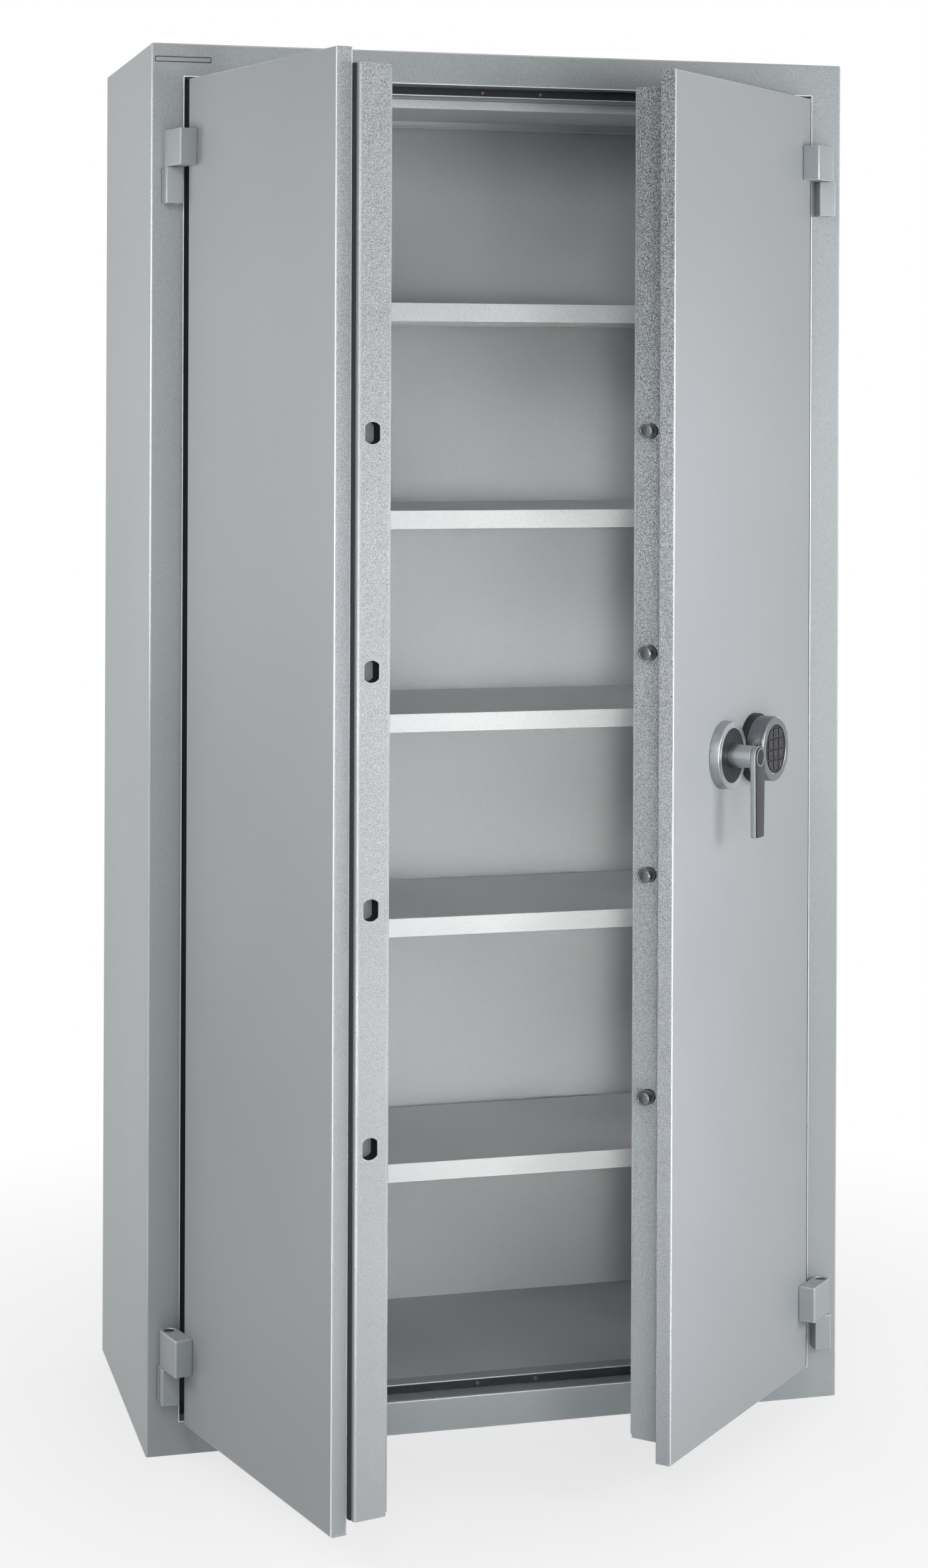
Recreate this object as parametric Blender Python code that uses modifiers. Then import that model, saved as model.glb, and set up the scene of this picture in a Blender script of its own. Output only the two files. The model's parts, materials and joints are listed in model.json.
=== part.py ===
"""Two-door fire-resistant safe cabinet for files, with its doors standing open.

The cabinet stands on the floor with the middle of its base on the origin and its front facing -Y.
Each door is drawn shut, about its own hinge pin, and swings with the empty that sits on that pin.
On a door, "lateral" runs from the hinge edge to the free edge and "depth" runs in from the front face.
"""

import math

import bmesh
import bpy
from mathutils import Vector

# Fits that many pieces share, in metres
SEAT_GAP = 0.0003
CUT_OVERRUN = 0.010

# Cabinet body
CABINET_WIDTH = 1.015
CABINET_DEPTH = 0.470
CABINET_HEIGHT = 1.950
CASING_SHEET = 0.002
CASING_EDGE_RADIUS = 0.003
FRAME_BORDER = 0.046
REBATE_DEPTH = 0.032
STOP_WIDTH = 0.013
FRAME_SHEET = 0.002
TUNNEL_LENGTH = 0.026
SEAL_MARGIN = 0.0015
SEAL_THICKNESS = 0.004
LINER_SHEET = 0.0012
BACK_INSULATION = 0.050

# Shelves, their tops measured up from the liner's floor, and the ladders that carry them
SHELF_RISES = (0.2994, 0.6523, 0.9465, 1.2393, 1.5387)
SHELF_SHEET = 0.0012
SHELF_FLANGE = 0.0265
SHELF_LIP = 0.012
SHELF_SETBACK = 0.0247
SHELF_REAR_GAP = 0.008
SHELF_SIDE_GAP = 0.0015
TRAY_FLANGE = 0.0125
TRAY_CEILING_GAP = 0.0005
POST_WEB = 0.005
POST_SLOT = 0.013
POST_WIDTH = 0.020
POST_SETBACK = 0.030
LEDGE_THICKNESS = 0.003
LEDGE_INSET = 0.001

# Door leaves
DOOR_EDGE_GAP = 0.0055
DOOR_MEETING_GAP = 0.005
PANEL_DEPTH = 0.022
PANEL_SHEET = 0.0015
PANEL_RETURN = 0.030
PANEL_EDGE_RADIUS = 0.002
BOX_INSET = 0.020
BOX_REAR_DEPTH = 0.068
BOX_SHEET = 0.0015
BOX_FLANGE = 0.018
LEFT_BOX_EDGE_RADIUS = 0.004
RIGHT_BOX_EDGE_RADIUS = 0.0
LEFT_BOX_OVERHANG = 0.016
RIGHT_BOX_SETBACK = 0.021
DOOR_SEAL_THICKNESS = 0.002
DOOR_SEAL_SETBACK = 0.0045
COVER_SHEET = 0.0017
COVER_INSET = 0.005
COVER_FREE_EDGE_INSET = 0.0005
LEFT_DOOR_ANGLE = math.radians(75.4)
RIGHT_DOOR_ANGLE = math.radians(45.9)

# Hinges
HINGE_SIDE_INSET = 0.0295
HINGE_RADIUS = 0.0124
HINGE_FACE_GAP = 0.0004
HINGE_LEAF_HEIGHT = 0.050
HINGE_LEAF_GAP = 0.0004
HINGE_BLOCK_WIDTH = 0.0237
HINGE_BLOCK_RADIUS = 0.0012
HINGE_FLOOR_MARGIN = 0.077
HINGE_TOP_MARGIN = 0.122
KNUCKLE_REACH = 0.029
PIN_DIAMETER = 0.016
PIN_CLEARANCE = 0.0003
PIN_END_RECESS = 0.0006
PIN_CHAMFER = 0.001

# Bolts and the bar that drives them
BOLT_COUNT = 4
BOLT_PITCH = 0.296
BOLT_DEPTH = 0.0445
BOLT_DIAMETER = 0.0188
BOLT_CHAMFER = 0.0012
BOLT_THROW = 0.018
BOLT_HOLE_CLEARANCE = 0.0008
KEEPER_SIDE_CLEARANCE = 0.0011
KEEPER_END_CLEARANCE = 0.0044
BAR_SETBACK = 0.0425
BAR_WIDTH = 0.025
BAR_THICKNESS = 0.008
BAR_END_MARGIN = 0.020
POCKET_CLEARANCE = 0.004

# Handle, its rosette and the crank behind it
LOCK_SPACING = 0.003
ROSETTE_DIAMETER = 0.094
ROSETTE_TAPER = 0.0015
ROSETTE_HEIGHT = 0.014
ROSETTE_EDGE_RADIUS = 0.0012
ROSETTE_RIM = 0.0085
DISC_THICKNESS = 0.003
NECK_DIAMETER = 0.033
LEVER_WIDTH = 0.0295
LEVER_END_WIDTH = 0.0245
LEVER_LENGTH = 0.109
LEVER_THICKNESS = 0.0095
LEVER_STANDOFF = 0.046
LEVER_CORNER_RADIUS = 0.0025
LEVER_EDGE_RADIUS = 0.0008
SHAFT_DIAMETER = 0.012
SHAFT_CLEARANCE = 0.0005
CRANK_DEPTH = 0.030
CRANK_THICKNESS = 0.006
CRANK_WIDTH = 0.020
CRANK_CORNER_RADIUS = 0.008
CRANK_PIN_DIAMETER = 0.006
SLOT_CLEARANCE = 0.00075
SLOT_MARGIN = 0.006

# Keypad and the lock case behind it
KEYPAD_LATERAL = 0.197
KEY_COLUMNS = 3
KEY_ROWS = 4
KEY_COLUMN_PITCH = 0.0165
KEY_ROW_PITCH = 0.0148
KEY_WEB = 0.0038
KEY_CORNER_REACH = 0.0035
KEY_CORNER_RADIUS = 0.0012
KEY_CLEARANCE = 0.0003
KEY_PROUD = 0.001
PAD_RIM = 0.0023
PAD_THICKNESS = 0.004
PAD_RECESS = 0.0015
KEYPAD_RIM = 0.0115
KEYPAD_HEIGHT = 0.035
KEYPAD_EDGE_RADIUS = 0.004
KEYPAD_WALL = 0.003
KEYPAD_BASE_HEIGHT = 0.0085
KEYPAD_BASE_LIP = 0.003
CABLE_BORE = 0.014
LOCK_CASE_WIDTH = 0.062
LOCK_CASE_HEIGHT = 0.084
LOCK_CASE_DEPTH = 0.026

# Facets of round pieces
LARGE_STEPS = 48
SMALL_STEPS = 24
ARC_STEPS = 4
SMOOTH_ANGLE = math.radians(35)
WELD_DISTANCE = 1e-6
SCREW_MERGE = 1e-5

# Places worked out from the sizes above
FRONT_Y = -CABINET_DEPTH / 2
OPENING_X = CABINET_WIDTH / 2 - FRAME_BORDER
OPENING_Z = (FRAME_BORDER, CABINET_HEIGHT - FRAME_BORDER)
INNER_X = OPENING_X - STOP_WIDTH
INNER_Z = (OPENING_Z[0] + STOP_WIDTH, OPENING_Z[1] - STOP_WIDTH)
STOP_REAR = REBATE_DEPTH + FRAME_SHEET
LINER_FRONT = STOP_REAR + TUNNEL_LENGTH + SEAT_GAP
LINER_REAR = CABINET_DEPTH - CASING_SHEET - BACK_INSULATION

SHELF_FRONT = LINER_FRONT + SHELF_SETBACK
SHELF_LENGTH = LINER_REAR - SHELF_REAR_GAP - SHELF_FRONT
SHELF_HALF_WIDTH = INNER_X - SEAT_GAP - POST_WEB - SHELF_SIDE_GAP
SHELF_TOPS = tuple(INNER_Z[0] + rise for rise in SHELF_RISES)
TRAY_TOP = INNER_Z[1] - TRAY_CEILING_GAP

PIN_X = CABINET_WIDTH / 2 - HINGE_SIDE_INSET
PIN_FORWARD = HINGE_RADIUS + HINGE_FACE_GAP
PIN_TO_EDGE = PIN_X - OPENING_X + DOOR_EDGE_GAP
HINGE_STACK = 2 * HINGE_LEAF_HEIGHT + HINGE_LEAF_GAP
HINGE_BOTTOMS = (HINGE_FLOOR_MARGIN, CABINET_HEIGHT - HINGE_TOP_MARGIN - HINGE_STACK)

PANEL_WIDTH = OPENING_X - DOOR_EDGE_GAP - DOOR_MEETING_GAP / 2
PANEL_Z = (OPENING_Z[0] + DOOR_EDGE_GAP, OPENING_Z[1] - DOOR_EDGE_GAP)
BOX_Z = (PANEL_Z[0] + BOX_INSET, PANEL_Z[1] - BOX_INSET)
LEFT_BOX_EDGE = PANEL_WIDTH + LEFT_BOX_OVERHANG
RIGHT_BOX_EDGE = PANEL_WIDTH - RIGHT_BOX_SETBACK
LEFT_BOX_FRONT = PANEL_DEPTH + DOOR_SEAL_THICKNESS + 2 * SEAT_GAP
RIGHT_BOX_FRONT = PANEL_DEPTH + SEAT_GAP

LOCK_HEIGHT = CABINET_HEIGHT / 2
BOLT_HEIGHTS = tuple(LOCK_HEIGHT + (i - (BOLT_COUNT - 1) / 2) * BOLT_PITCH for i in range(BOLT_COUNT))
BAR_FRONT_EDGE = RIGHT_BOX_EDGE - BAR_SETBACK
BAR_REAR_EDGE = BAR_FRONT_EDGE - BAR_WIDTH
BAR_Z = (BOLT_HEIGHTS[0] - BAR_END_MARGIN, BOLT_HEIGHTS[-1] + BAR_END_MARGIN)

KEY_SIZE = (KEY_COLUMN_PITCH - KEY_WEB, KEY_ROW_PITCH - KEY_WEB)
KEY_CORNER_CENTRE = (KEY_COLUMN_PITCH * (KEY_COLUMNS - 1) / 2, KEY_ROW_PITCH * (KEY_ROWS - 1) / 2)
KEY_CLIP_RADIUS = math.hypot(*KEY_CORNER_CENTRE) + KEY_CORNER_REACH
PAD_RADIUS = KEY_CLIP_RADIUS + PAD_RIM
PAD_FRONT = KEYPAD_HEIGHT - PAD_RECESS
PAD_REAR = PAD_FRONT - PAD_THICKNESS
KEYPAD_RADIUS = PAD_RADIUS + KEYPAD_RIM
KEYPAD_BASE_RADIUS = KEYPAD_RADIUS + KEYPAD_BASE_LIP

ROSETTE_RADIUS = ROSETTE_DIAMETER / 2
DISC_RADIUS = ROSETTE_RADIUS - ROSETTE_TAPER - ROSETTE_RIM
RECESS_FLOOR = ROSETTE_HEIGHT - DISC_THICKNESS - 2 * SEAT_GAP
HANDLE_LATERAL = KEYPAD_LATERAL + KEYPAD_BASE_RADIUS + ROSETTE_RADIUS + LOCK_SPACING
SHAFT_BORE = SHAFT_DIAMETER / 2 + SHAFT_CLEARANCE
CRANK_RADIUS = BOLT_THROW / math.sqrt(2)
CRANK_PIN_REACH = BOLT_DEPTH + BAR_THICKNESS

LEFT = 1
RIGHT = -1
RING_SIDES = ("hinge", "low", "free", "high")


def clear_scene():
    for item in list(bpy.data.objects):
        bpy.data.objects.remove(item, do_unlink=True)


def new_collection(name):
    made = bpy.data.collections.new(name)
    bpy.context.scene.collection.children.link(made)
    return made


clear_scene()
PARTS = new_collection("safe_cabinet")
CUTTERS = new_collection("cutters")


def finish(name, colour, roughness, metallic):
    material = bpy.data.materials.new(name)
    material.use_nodes = True
    shader = material.node_tree.nodes["Principled BSDF"]
    shader.inputs["Base Color"].default_value = (*colour, 1.0)
    shader.inputs["Roughness"].default_value = roughness
    shader.inputs["Metallic"].default_value = metallic
    material.diffuse_color = (*colour, 1.0)
    return material


HAMMER_GREY = finish("hammer_grey_paint", (0.40, 0.42, 0.43), 0.42, 0.30)
DOOR_GREY = finish("door_grey_paint", (0.45, 0.47, 0.49), 0.45, 0.30)
SHELF_GREY = finish("light_grey_paint", (0.64, 0.65, 0.66), 0.48, 0.10)
MINERAL_BOARD = finish("mineral_board", (0.72, 0.69, 0.62), 0.92, 0.0)
SEAL_BLACK = finish("seal_black", (0.025, 0.026, 0.028), 0.75, 0.0)
PIN_STEEL = finish("dark_pin_steel", (0.10, 0.10, 0.11), 0.40, 0.90)
ZINC = finish("zinc_plate", (0.58, 0.59, 0.58), 0.32, 1.0)
SATIN_CHROME = finish("satin_chrome", (0.66, 0.67, 0.68), 0.28, 1.0)
DARK_TRIM = finish("dark_trim", (0.045, 0.046, 0.050), 0.45, 0.0)
KEY_GREY = finish("key_grey", (0.085, 0.088, 0.092), 0.50, 0.0)


def block(low, high, rounded=None, radius=0.0):
    """A closed box between two corners. rounded picks edges by their middle on a cube of half size 1."""
    shape = bmesh.new()
    bmesh.ops.create_cube(shape, size=2)
    chosen = []
    for edge in shape.edges:
        middle = (edge.verts[0].co + edge.verts[1].co) / 2
        if rounded and radius and rounded(middle):
            chosen.append(edge)
    low = Vector(low)
    high = Vector(high)
    bmesh.ops.scale(shape, vec=(high - low) / 2, verts=shape.verts)
    bmesh.ops.translate(shape, vec=(high + low) / 2, verts=shape.verts)
    if chosen:
        bmesh.ops.bevel(
            shape, geom=chosen, offset=radius, segments=ARC_STEPS, profile=0.5, affect="EDGES"
        )
    return as_mesh(shape)


def as_mesh(shape):
    mesh = bpy.data.meshes.new("shape")
    shape.to_mesh(mesh)
    shape.free()
    return mesh


def smooth(mesh):
    mesh.shade_smooth()
    mesh.set_sharp_from_angle(angle=SMOOTH_ANGLE)
    return mesh


def evaluated_mesh(item):
    """The finished mesh of a helper object, welded, with the helper removed."""
    PARTS.objects.link(item)
    bpy.context.view_layer.update()
    graph = bpy.context.evaluated_depsgraph_get()
    mesh = bpy.data.meshes.new_from_object(item.evaluated_get(graph))
    bpy.data.objects.remove(item, do_unlink=True)
    shape = bmesh.new()
    shape.from_mesh(mesh)
    bmesh.ops.remove_doubles(shape, verts=shape.verts, dist=WELD_DISTANCE)
    bmesh.ops.recalc_face_normals(shape, faces=shape.faces)
    shape.to_mesh(mesh)
    shape.free()
    return smooth(mesh)


def turned(profile, steps, bored=False):
    """A shape turned about Z from (radius, height) points that run top to bottom down its outer side."""
    shape = bmesh.new()
    verts = [shape.verts.new((radius, 0, height)) for radius, height in profile]
    pairs = list(zip(verts, verts[1:]))
    if bored:
        pairs.append((verts[-1], verts[0]))
    for pair in pairs:
        shape.edges.new(pair)
    item = bpy.data.objects.new("profile", as_mesh(shape))
    screw = item.modifiers.new("Turn", "SCREW")
    screw.axis = "Z"
    screw.steps = steps
    screw.render_steps = steps
    screw.use_merge_vertices = True
    screw.merge_threshold = SCREW_MERGE
    return evaluated_mesh(item)


def rod(radius, low, high, chamfer=0.0, steps=SMALL_STEPS):
    """A round bar along Z whose upper end may be chamfered."""
    profile = [(0, high), (radius - chamfer, high)]
    if chamfer:
        profile.append((radius, high - chamfer))
    return turned(profile + [(radius, low), (0, low)], steps)


def ring(bore, radius, low, high, steps=LARGE_STEPS):
    return turned([(bore, high), (radius, high), (radius, low), (bore, low)], steps, bored=True)


def plate(outlines, thickness):
    """A flat plate across Z, centred on it, from an outer outline and any holes after it."""
    curve = bpy.data.curves.new("outline", "CURVE")
    curve.dimensions = "2D"
    curve.fill_mode = "BOTH"
    curve.extrude = thickness / 2
    for outline in outlines:
        spline = curve.splines.new("POLY")
        spline.points.add(len(outline) - 1)
        for point, (x, y) in zip(spline.points, outline):
            point.co = (x, y, 0, 1)
        spline.use_cyclic_u = True
    return evaluated_mesh(bpy.data.objects.new("outline", curve))


def arc(centre, radius, start, end, steps):
    angles = [start + (end - start) * i / steps for i in range(steps + 1)]
    return [(centre[0] + radius * math.cos(a), centre[1] + radius * math.sin(a)) for a in angles]


def circle(radius, steps):
    return arc((0, 0), radius, 0, math.tau, steps)[:-1]


def round_corners(points, radius):
    """The outline with each corner rounded, by at most what half its shorter side allows."""
    made = []
    for i, corner in enumerate(points):
        corner = Vector(corner)
        before = Vector(points[i - 1]) - corner
        after = Vector(points[(i + 1) % len(points)]) - corner
        half = before.angle(after) / 2
        cut = min(radius / math.tan(half), 0.49 * before.length, 0.49 * after.length)
        start = corner + before.normalized() * cut
        end = corner + after.normalized() * cut
        for step in range(ARC_STEPS + 1):
            share = step / ARC_STEPS
            made.append((1 - share) ** 2 * start + 2 * share * (1 - share) * corner + share**2 * end)
    return [tuple(point) for point in made]


def rectangle(width, height):
    x = width / 2
    y = height / 2
    return [(-x, -y), (x, -y), (x, y), (-x, y)]


def new_part(name, mesh, material, parent=None, location=(0, 0, 0), rotation=(0, 0, 0)):
    mesh.materials.clear()
    mesh.materials.append(material)
    item = bpy.data.objects.new(name, mesh)
    PARTS.objects.link(item)
    item.parent = parent
    item.location = location
    item.rotation_euler = rotation
    return item


def new_helper(mesh, parent=None, location=(0, 0, 0), rotation=(0, 0, 0)):
    """A solid that cuts or extends a part and is not a part itself."""
    item = bpy.data.objects.new("helper", mesh)
    CUTTERS.objects.link(item)
    item.hide_render = True
    item.display_type = "WIRE"
    item.parent = parent
    item.location = location
    item.rotation_euler = rotation
    return item


def combine(part, helper, operation):
    step = part.modifiers.new(operation.title(), "BOOLEAN")
    step.operation = operation
    step.solver = "EXACT"
    step.object = helper


def cut(part, *helpers):
    for helper in helpers:
        combine(part, helper, "DIFFERENCE")


def join(part, *helpers):
    for helper in helpers:
        combine(part, helper, "UNION")


def new_axis(name, parent, location, rotation=(0, 0, 0)):
    """An empty on the line that moving pieces turn about or slide along."""
    empty = bpy.data.objects.new(name, None)
    PARTS.objects.link(empty)
    empty.parent = parent
    empty.location = location
    empty.rotation_euler = rotation
    return empty


def body_block(half_width, depth, height, rounded=None, radius=0.0):
    """A box centred on the cabinet's middle, with depth measured in from the front face."""
    low = (-half_width, FRONT_Y + depth[0], height[0])
    high = (half_width, FRONT_Y + depth[1], height[1])
    return block(low, high, rounded, radius)


def grown(span, margin):
    return (span[0] - margin, span[1] + margin)


# Cabinet body


def build_casing():
    radius = min(CASING_EDGE_RADIUS, 2.5 * CASING_SHEET)
    outside = body_block(
        CABINET_WIDTH / 2, (0, CABINET_DEPTH), (0, CABINET_HEIGHT), lambda edge: edge.z > -0.5, radius
    )
    casing = new_part("outer_casing", outside, HAMMER_GREY)
    hollow = body_block(
        CABINET_WIDTH / 2 - CASING_SHEET,
        (CASING_SHEET, CABINET_DEPTH - CASING_SHEET),
        (CASING_SHEET, CABINET_HEIGHT - CASING_SHEET),
    )
    doorway = body_block(OPENING_X, (-CUT_OVERRUN, CUT_OVERRUN), OPENING_Z)
    cut(casing, new_helper(hollow), new_helper(doorway))


def build_insulation():
    inset = CASING_SHEET + SEAT_GAP
    outside = body_block(
        CABINET_WIDTH / 2 - inset, (inset, CABINET_DEPTH - inset), (inset, CABINET_HEIGHT - inset)
    )
    insulation = new_part("insulation", outside, MINERAL_BOARD)
    frame_room = FRAME_SHEET + SEAT_GAP
    liner_room = LINER_SHEET + SEAT_GAP
    steps = (
        (OPENING_X, OPENING_Z, frame_room, STOP_REAR + SEAT_GAP),
        (INNER_X, INNER_Z, frame_room, LINER_FRONT),
        (INNER_X, INNER_Z, liner_room, LINER_REAR + liner_room),
    )
    for half_width, height, room, rear in steps:
        hollow = body_block(half_width + room, (-CUT_OVERRUN, rear), grown(height, room))
        cut(insulation, new_helper(hollow))


def build_liner():
    outside = body_block(
        INNER_X + LINER_SHEET, (LINER_FRONT, LINER_REAR + LINER_SHEET), grown(INNER_Z, LINER_SHEET)
    )
    liner = new_part("inner_liner", outside, SHELF_GREY)
    cut(liner, new_helper(body_block(INNER_X, (LINER_FRONT - CUT_OVERRUN, LINER_REAR), INNER_Z)))


def build_door_frame():
    front = CASING_SHEET + SEAT_GAP
    tunnel_end = STOP_REAR + TUNNEL_LENGTH
    rebate = body_block(OPENING_X + FRAME_SHEET, (front, STOP_REAR), grown(OPENING_Z, FRAME_SHEET))
    frame = new_part("door_frame", rebate, HAMMER_GREY)
    tunnel = body_block(
        INNER_X + FRAME_SHEET, (REBATE_DEPTH + FRAME_SHEET / 2, tunnel_end), grown(INNER_Z, FRAME_SHEET)
    )
    join(frame, new_helper(tunnel))
    doorway = body_block(OPENING_X, (-CUT_OVERRUN, REBATE_DEPTH), OPENING_Z)
    passage = body_block(INNER_X, (-CUT_OVERRUN, tunnel_end + CUT_OVERRUN), INNER_Z)
    cut(frame, new_helper(doorway), new_helper(passage))


def build_frame_seal():
    rear = REBATE_DEPTH - SEAT_GAP
    front = rear - SEAL_THICKNESS
    outside = body_block(OPENING_X - SEAL_MARGIN, (front, rear), grown(OPENING_Z, -SEAL_MARGIN))
    seal = new_part("frame_seal", outside, SEAL_BLACK)
    inside = body_block(
        INNER_X + SEAL_MARGIN, (front - CUT_OVERRUN, rear + CUT_OVERRUN), grown(INNER_Z, SEAL_MARGIN)
    )
    cut(seal, new_helper(inside))


# Shelves


def build_shelf(name, top, flange):
    """A sheet folded down at its front and rear edges, with a lip turned in under each fold."""
    lip = min(SHELF_LIP, flange)
    fold = [(lip, -flange), (0, -flange), (0, 0), (SHELF_LENGTH, 0), (SHELF_LENGTH, -flange)]
    fold.append((SHELF_LENGTH - lip, -flange))
    shape = bmesh.new()
    verts = [shape.verts.new((-SHELF_HALF_WIDTH, y, z)) for y, z in fold]
    edges = [shape.edges.new(pair) for pair in zip(verts, verts[1:])]
    swept = bmesh.ops.extrude_edge_only(shape, edges=edges)
    far = [item for item in swept["geom"] if isinstance(item, bmesh.types.BMVert)]
    bmesh.ops.translate(shape, vec=(2 * SHELF_HALF_WIDTH, 0, 0), verts=far)
    shelf = new_part(name, as_mesh(shape), SHELF_GREY, location=(0, FRONT_Y + SHELF_FRONT, top))
    sheet = shelf.modifiers.new("Sheet", "SOLIDIFY")
    sheet.thickness = SHELF_SHEET
    sheet.offset = -1
    sheet.use_even_offset = True


def build_shelves():
    for i, top in enumerate(SHELF_TOPS):
        build_shelf(f"shelf_{i + 1}", top, SHELF_FLANGE)
    build_shelf("hanging_tray", TRAY_TOP, TRAY_FLANGE)


def build_ladder(name, side):
    """Two posts on the liner's wall, slotted for the shelf sheets and joined by a ledge under every shelf."""
    wall = INNER_X - SEAT_GAP
    slot_end = wall - POST_WEB
    face = slot_end - POST_SLOT
    front = SHELF_FRONT + POST_SETBACK
    rear = SHELF_FRONT + SHELF_LENGTH - POST_SETBACK

    def strip(lateral, depth, height):
        x = sorted(side * value for value in lateral)
        return block((x[0], FRONT_Y + depth[0], height[0]), (x[1], FRONT_Y + depth[1], height[1]))

    height = (INNER_Z[0] + SEAT_GAP, TRAY_TOP - SHELF_SHEET - SEAT_GAP)
    ladder = new_part(name, strip((face, wall), (front, front + POST_WIDTH), height), SHELF_GREY)
    join(ladder, new_helper(strip((face, wall), (rear - POST_WIDTH, rear), height)))
    ledge_depth = (front + POST_WIDTH / 4, rear - POST_WIDTH / 4)
    for top in SHELF_TOPS:
        slot = (top - SHELF_SHEET - SEAT_GAP, top + SEAT_GAP)
        ledge = (slot[0] - LEDGE_THICKNESS, slot[0])
        join(ladder, new_helper(strip((face + LEDGE_INSET, wall), ledge_depth, ledge)))
        cut(ladder, new_helper(strip((face - CUT_OVERRUN, slot_end), grown((front, rear), CUT_OVERRUN), slot)))


# Hinges


def build_hinge_blocks():
    """On each side, a bored block on the frame and a pin standing in it, at the foot and at the head."""
    corner = round_corners(rectangle(HINGE_BLOCK_WIDTH, 2 * HINGE_RADIUS), HINGE_BLOCK_RADIUS)
    bore = circle(PIN_DIAMETER / 2 + PIN_CLEARANCE, SMALL_STEPS)
    pin_end = (PIN_END_RECESS, HINGE_STACK - PIN_END_RECESS)
    for side_name, side in (("left", LEFT), ("right", RIGHT)):
        for level_name, bottom in zip(("lower", "upper"), HINGE_BOTTOMS):
            place = (-side * PIN_X, FRONT_Y - PIN_FORWARD, bottom)
            middle = (place[0], place[1], bottom + HINGE_LEAF_HEIGHT / 2)
            name = f"{side_name}_{level_name}_hinge"
            new_part(f"{name}_block", plate([corner, bore], HINGE_LEAF_HEIGHT), HAMMER_GREY, None, middle)
            pin = rod(PIN_DIAMETER / 2, *pin_end, PIN_CHAMFER)
            new_part(f"{name}_pin", pin, PIN_STEEL, None, place)


def build_knuckles(side_name, side, pin):
    """The hinge leaf on a door: round about the pin, then a block along the door's front."""
    reach = side * (PIN_TO_EDGE + KNUCKLE_REACH)
    turn = arc((0, 0), HINGE_RADIUS, math.pi / 2, math.pi / 2 + side * math.pi, SMALL_STEPS // 2)
    outline = turn + [(reach, -HINGE_RADIUS), (reach, HINGE_RADIUS)]
    bore = circle(PIN_DIAMETER / 2 + PIN_CLEARANCE, SMALL_STEPS)
    for level_name, bottom in zip(("lower", "upper"), HINGE_BOTTOMS):
        middle = bottom + HINGE_LEAF_GAP + 1.5 * HINGE_LEAF_HEIGHT
        shape = plate([outline, bore], HINGE_LEAF_HEIGHT)
        new_part(f"{side_name}_{level_name}_hinge_knuckle", shape, DOOR_GREY, pin, (0, 0, middle))


# Door leaves


def door_block(side, lateral, depth, height, rounded=None, radius=0.0):
    """A box on a shut door, in the frame of its hinge pin."""
    x = sorted(side * (PIN_TO_EDGE + value) for value in lateral)
    low = (x[0], PIN_FORWARD + depth[0], height[0])
    high = (x[1], PIN_FORWARD + depth[1], height[1])
    return block(low, high, rounded, radius)


def build_outer_panel(side_name, side, pin):
    """A tray of sheet with its rim turned in again at the rear."""
    radius = min(PANEL_EDGE_RADIUS, 2.5 * PANEL_SHEET)
    span = (0, PANEL_WIDTH)
    outside = door_block(side, span, (0, PANEL_DEPTH), PANEL_Z, lambda edge: edge.y < -0.5, radius)
    panel = new_part(f"{side_name}_outer_panel", outside, DOOR_GREY, pin)
    hollow = door_block(
        side, grown(span, -PANEL_SHEET), (PANEL_SHEET, PANEL_DEPTH - PANEL_SHEET), grown(PANEL_Z, -PANEL_SHEET)
    )
    rear_depth = (PANEL_DEPTH - CUT_OVERRUN, PANEL_DEPTH + CUT_OVERRUN)
    rear = door_block(side, grown(span, -PANEL_RETURN), rear_depth, grown(PANEL_Z, -PANEL_RETURN))
    cut(panel, new_helper(hollow, pin), new_helper(rear, pin))
    return panel


def free_front_edge(side):
    """Picks the upright edge at a box's front, on the door's free side."""
    return lambda edge: edge.x * side > 0.5 and edge.y < -0.5


def edge_rounding(radius):
    """Steps round an edge, front to side: how far in from the side, and how far behind the front."""
    if radius == 0:
        return [(0, 0)]
    return arc((radius, radius), radius, -math.pi / 2, -math.pi, ARC_STEPS)


def close_pierced_wall(shape, corners, rims):
    """Fills a flat wall between its four corners, round the rims of its holes."""
    edges = []
    for loop in (corners, *rims):
        for pair in zip(loop, loop[1:] + loop[:1]):
            edges.append(shape.edges.get(pair) or shape.edges.new(pair))
    bmesh.ops.triangle_fill(shape, edges=edges, use_beauty=True)


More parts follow.
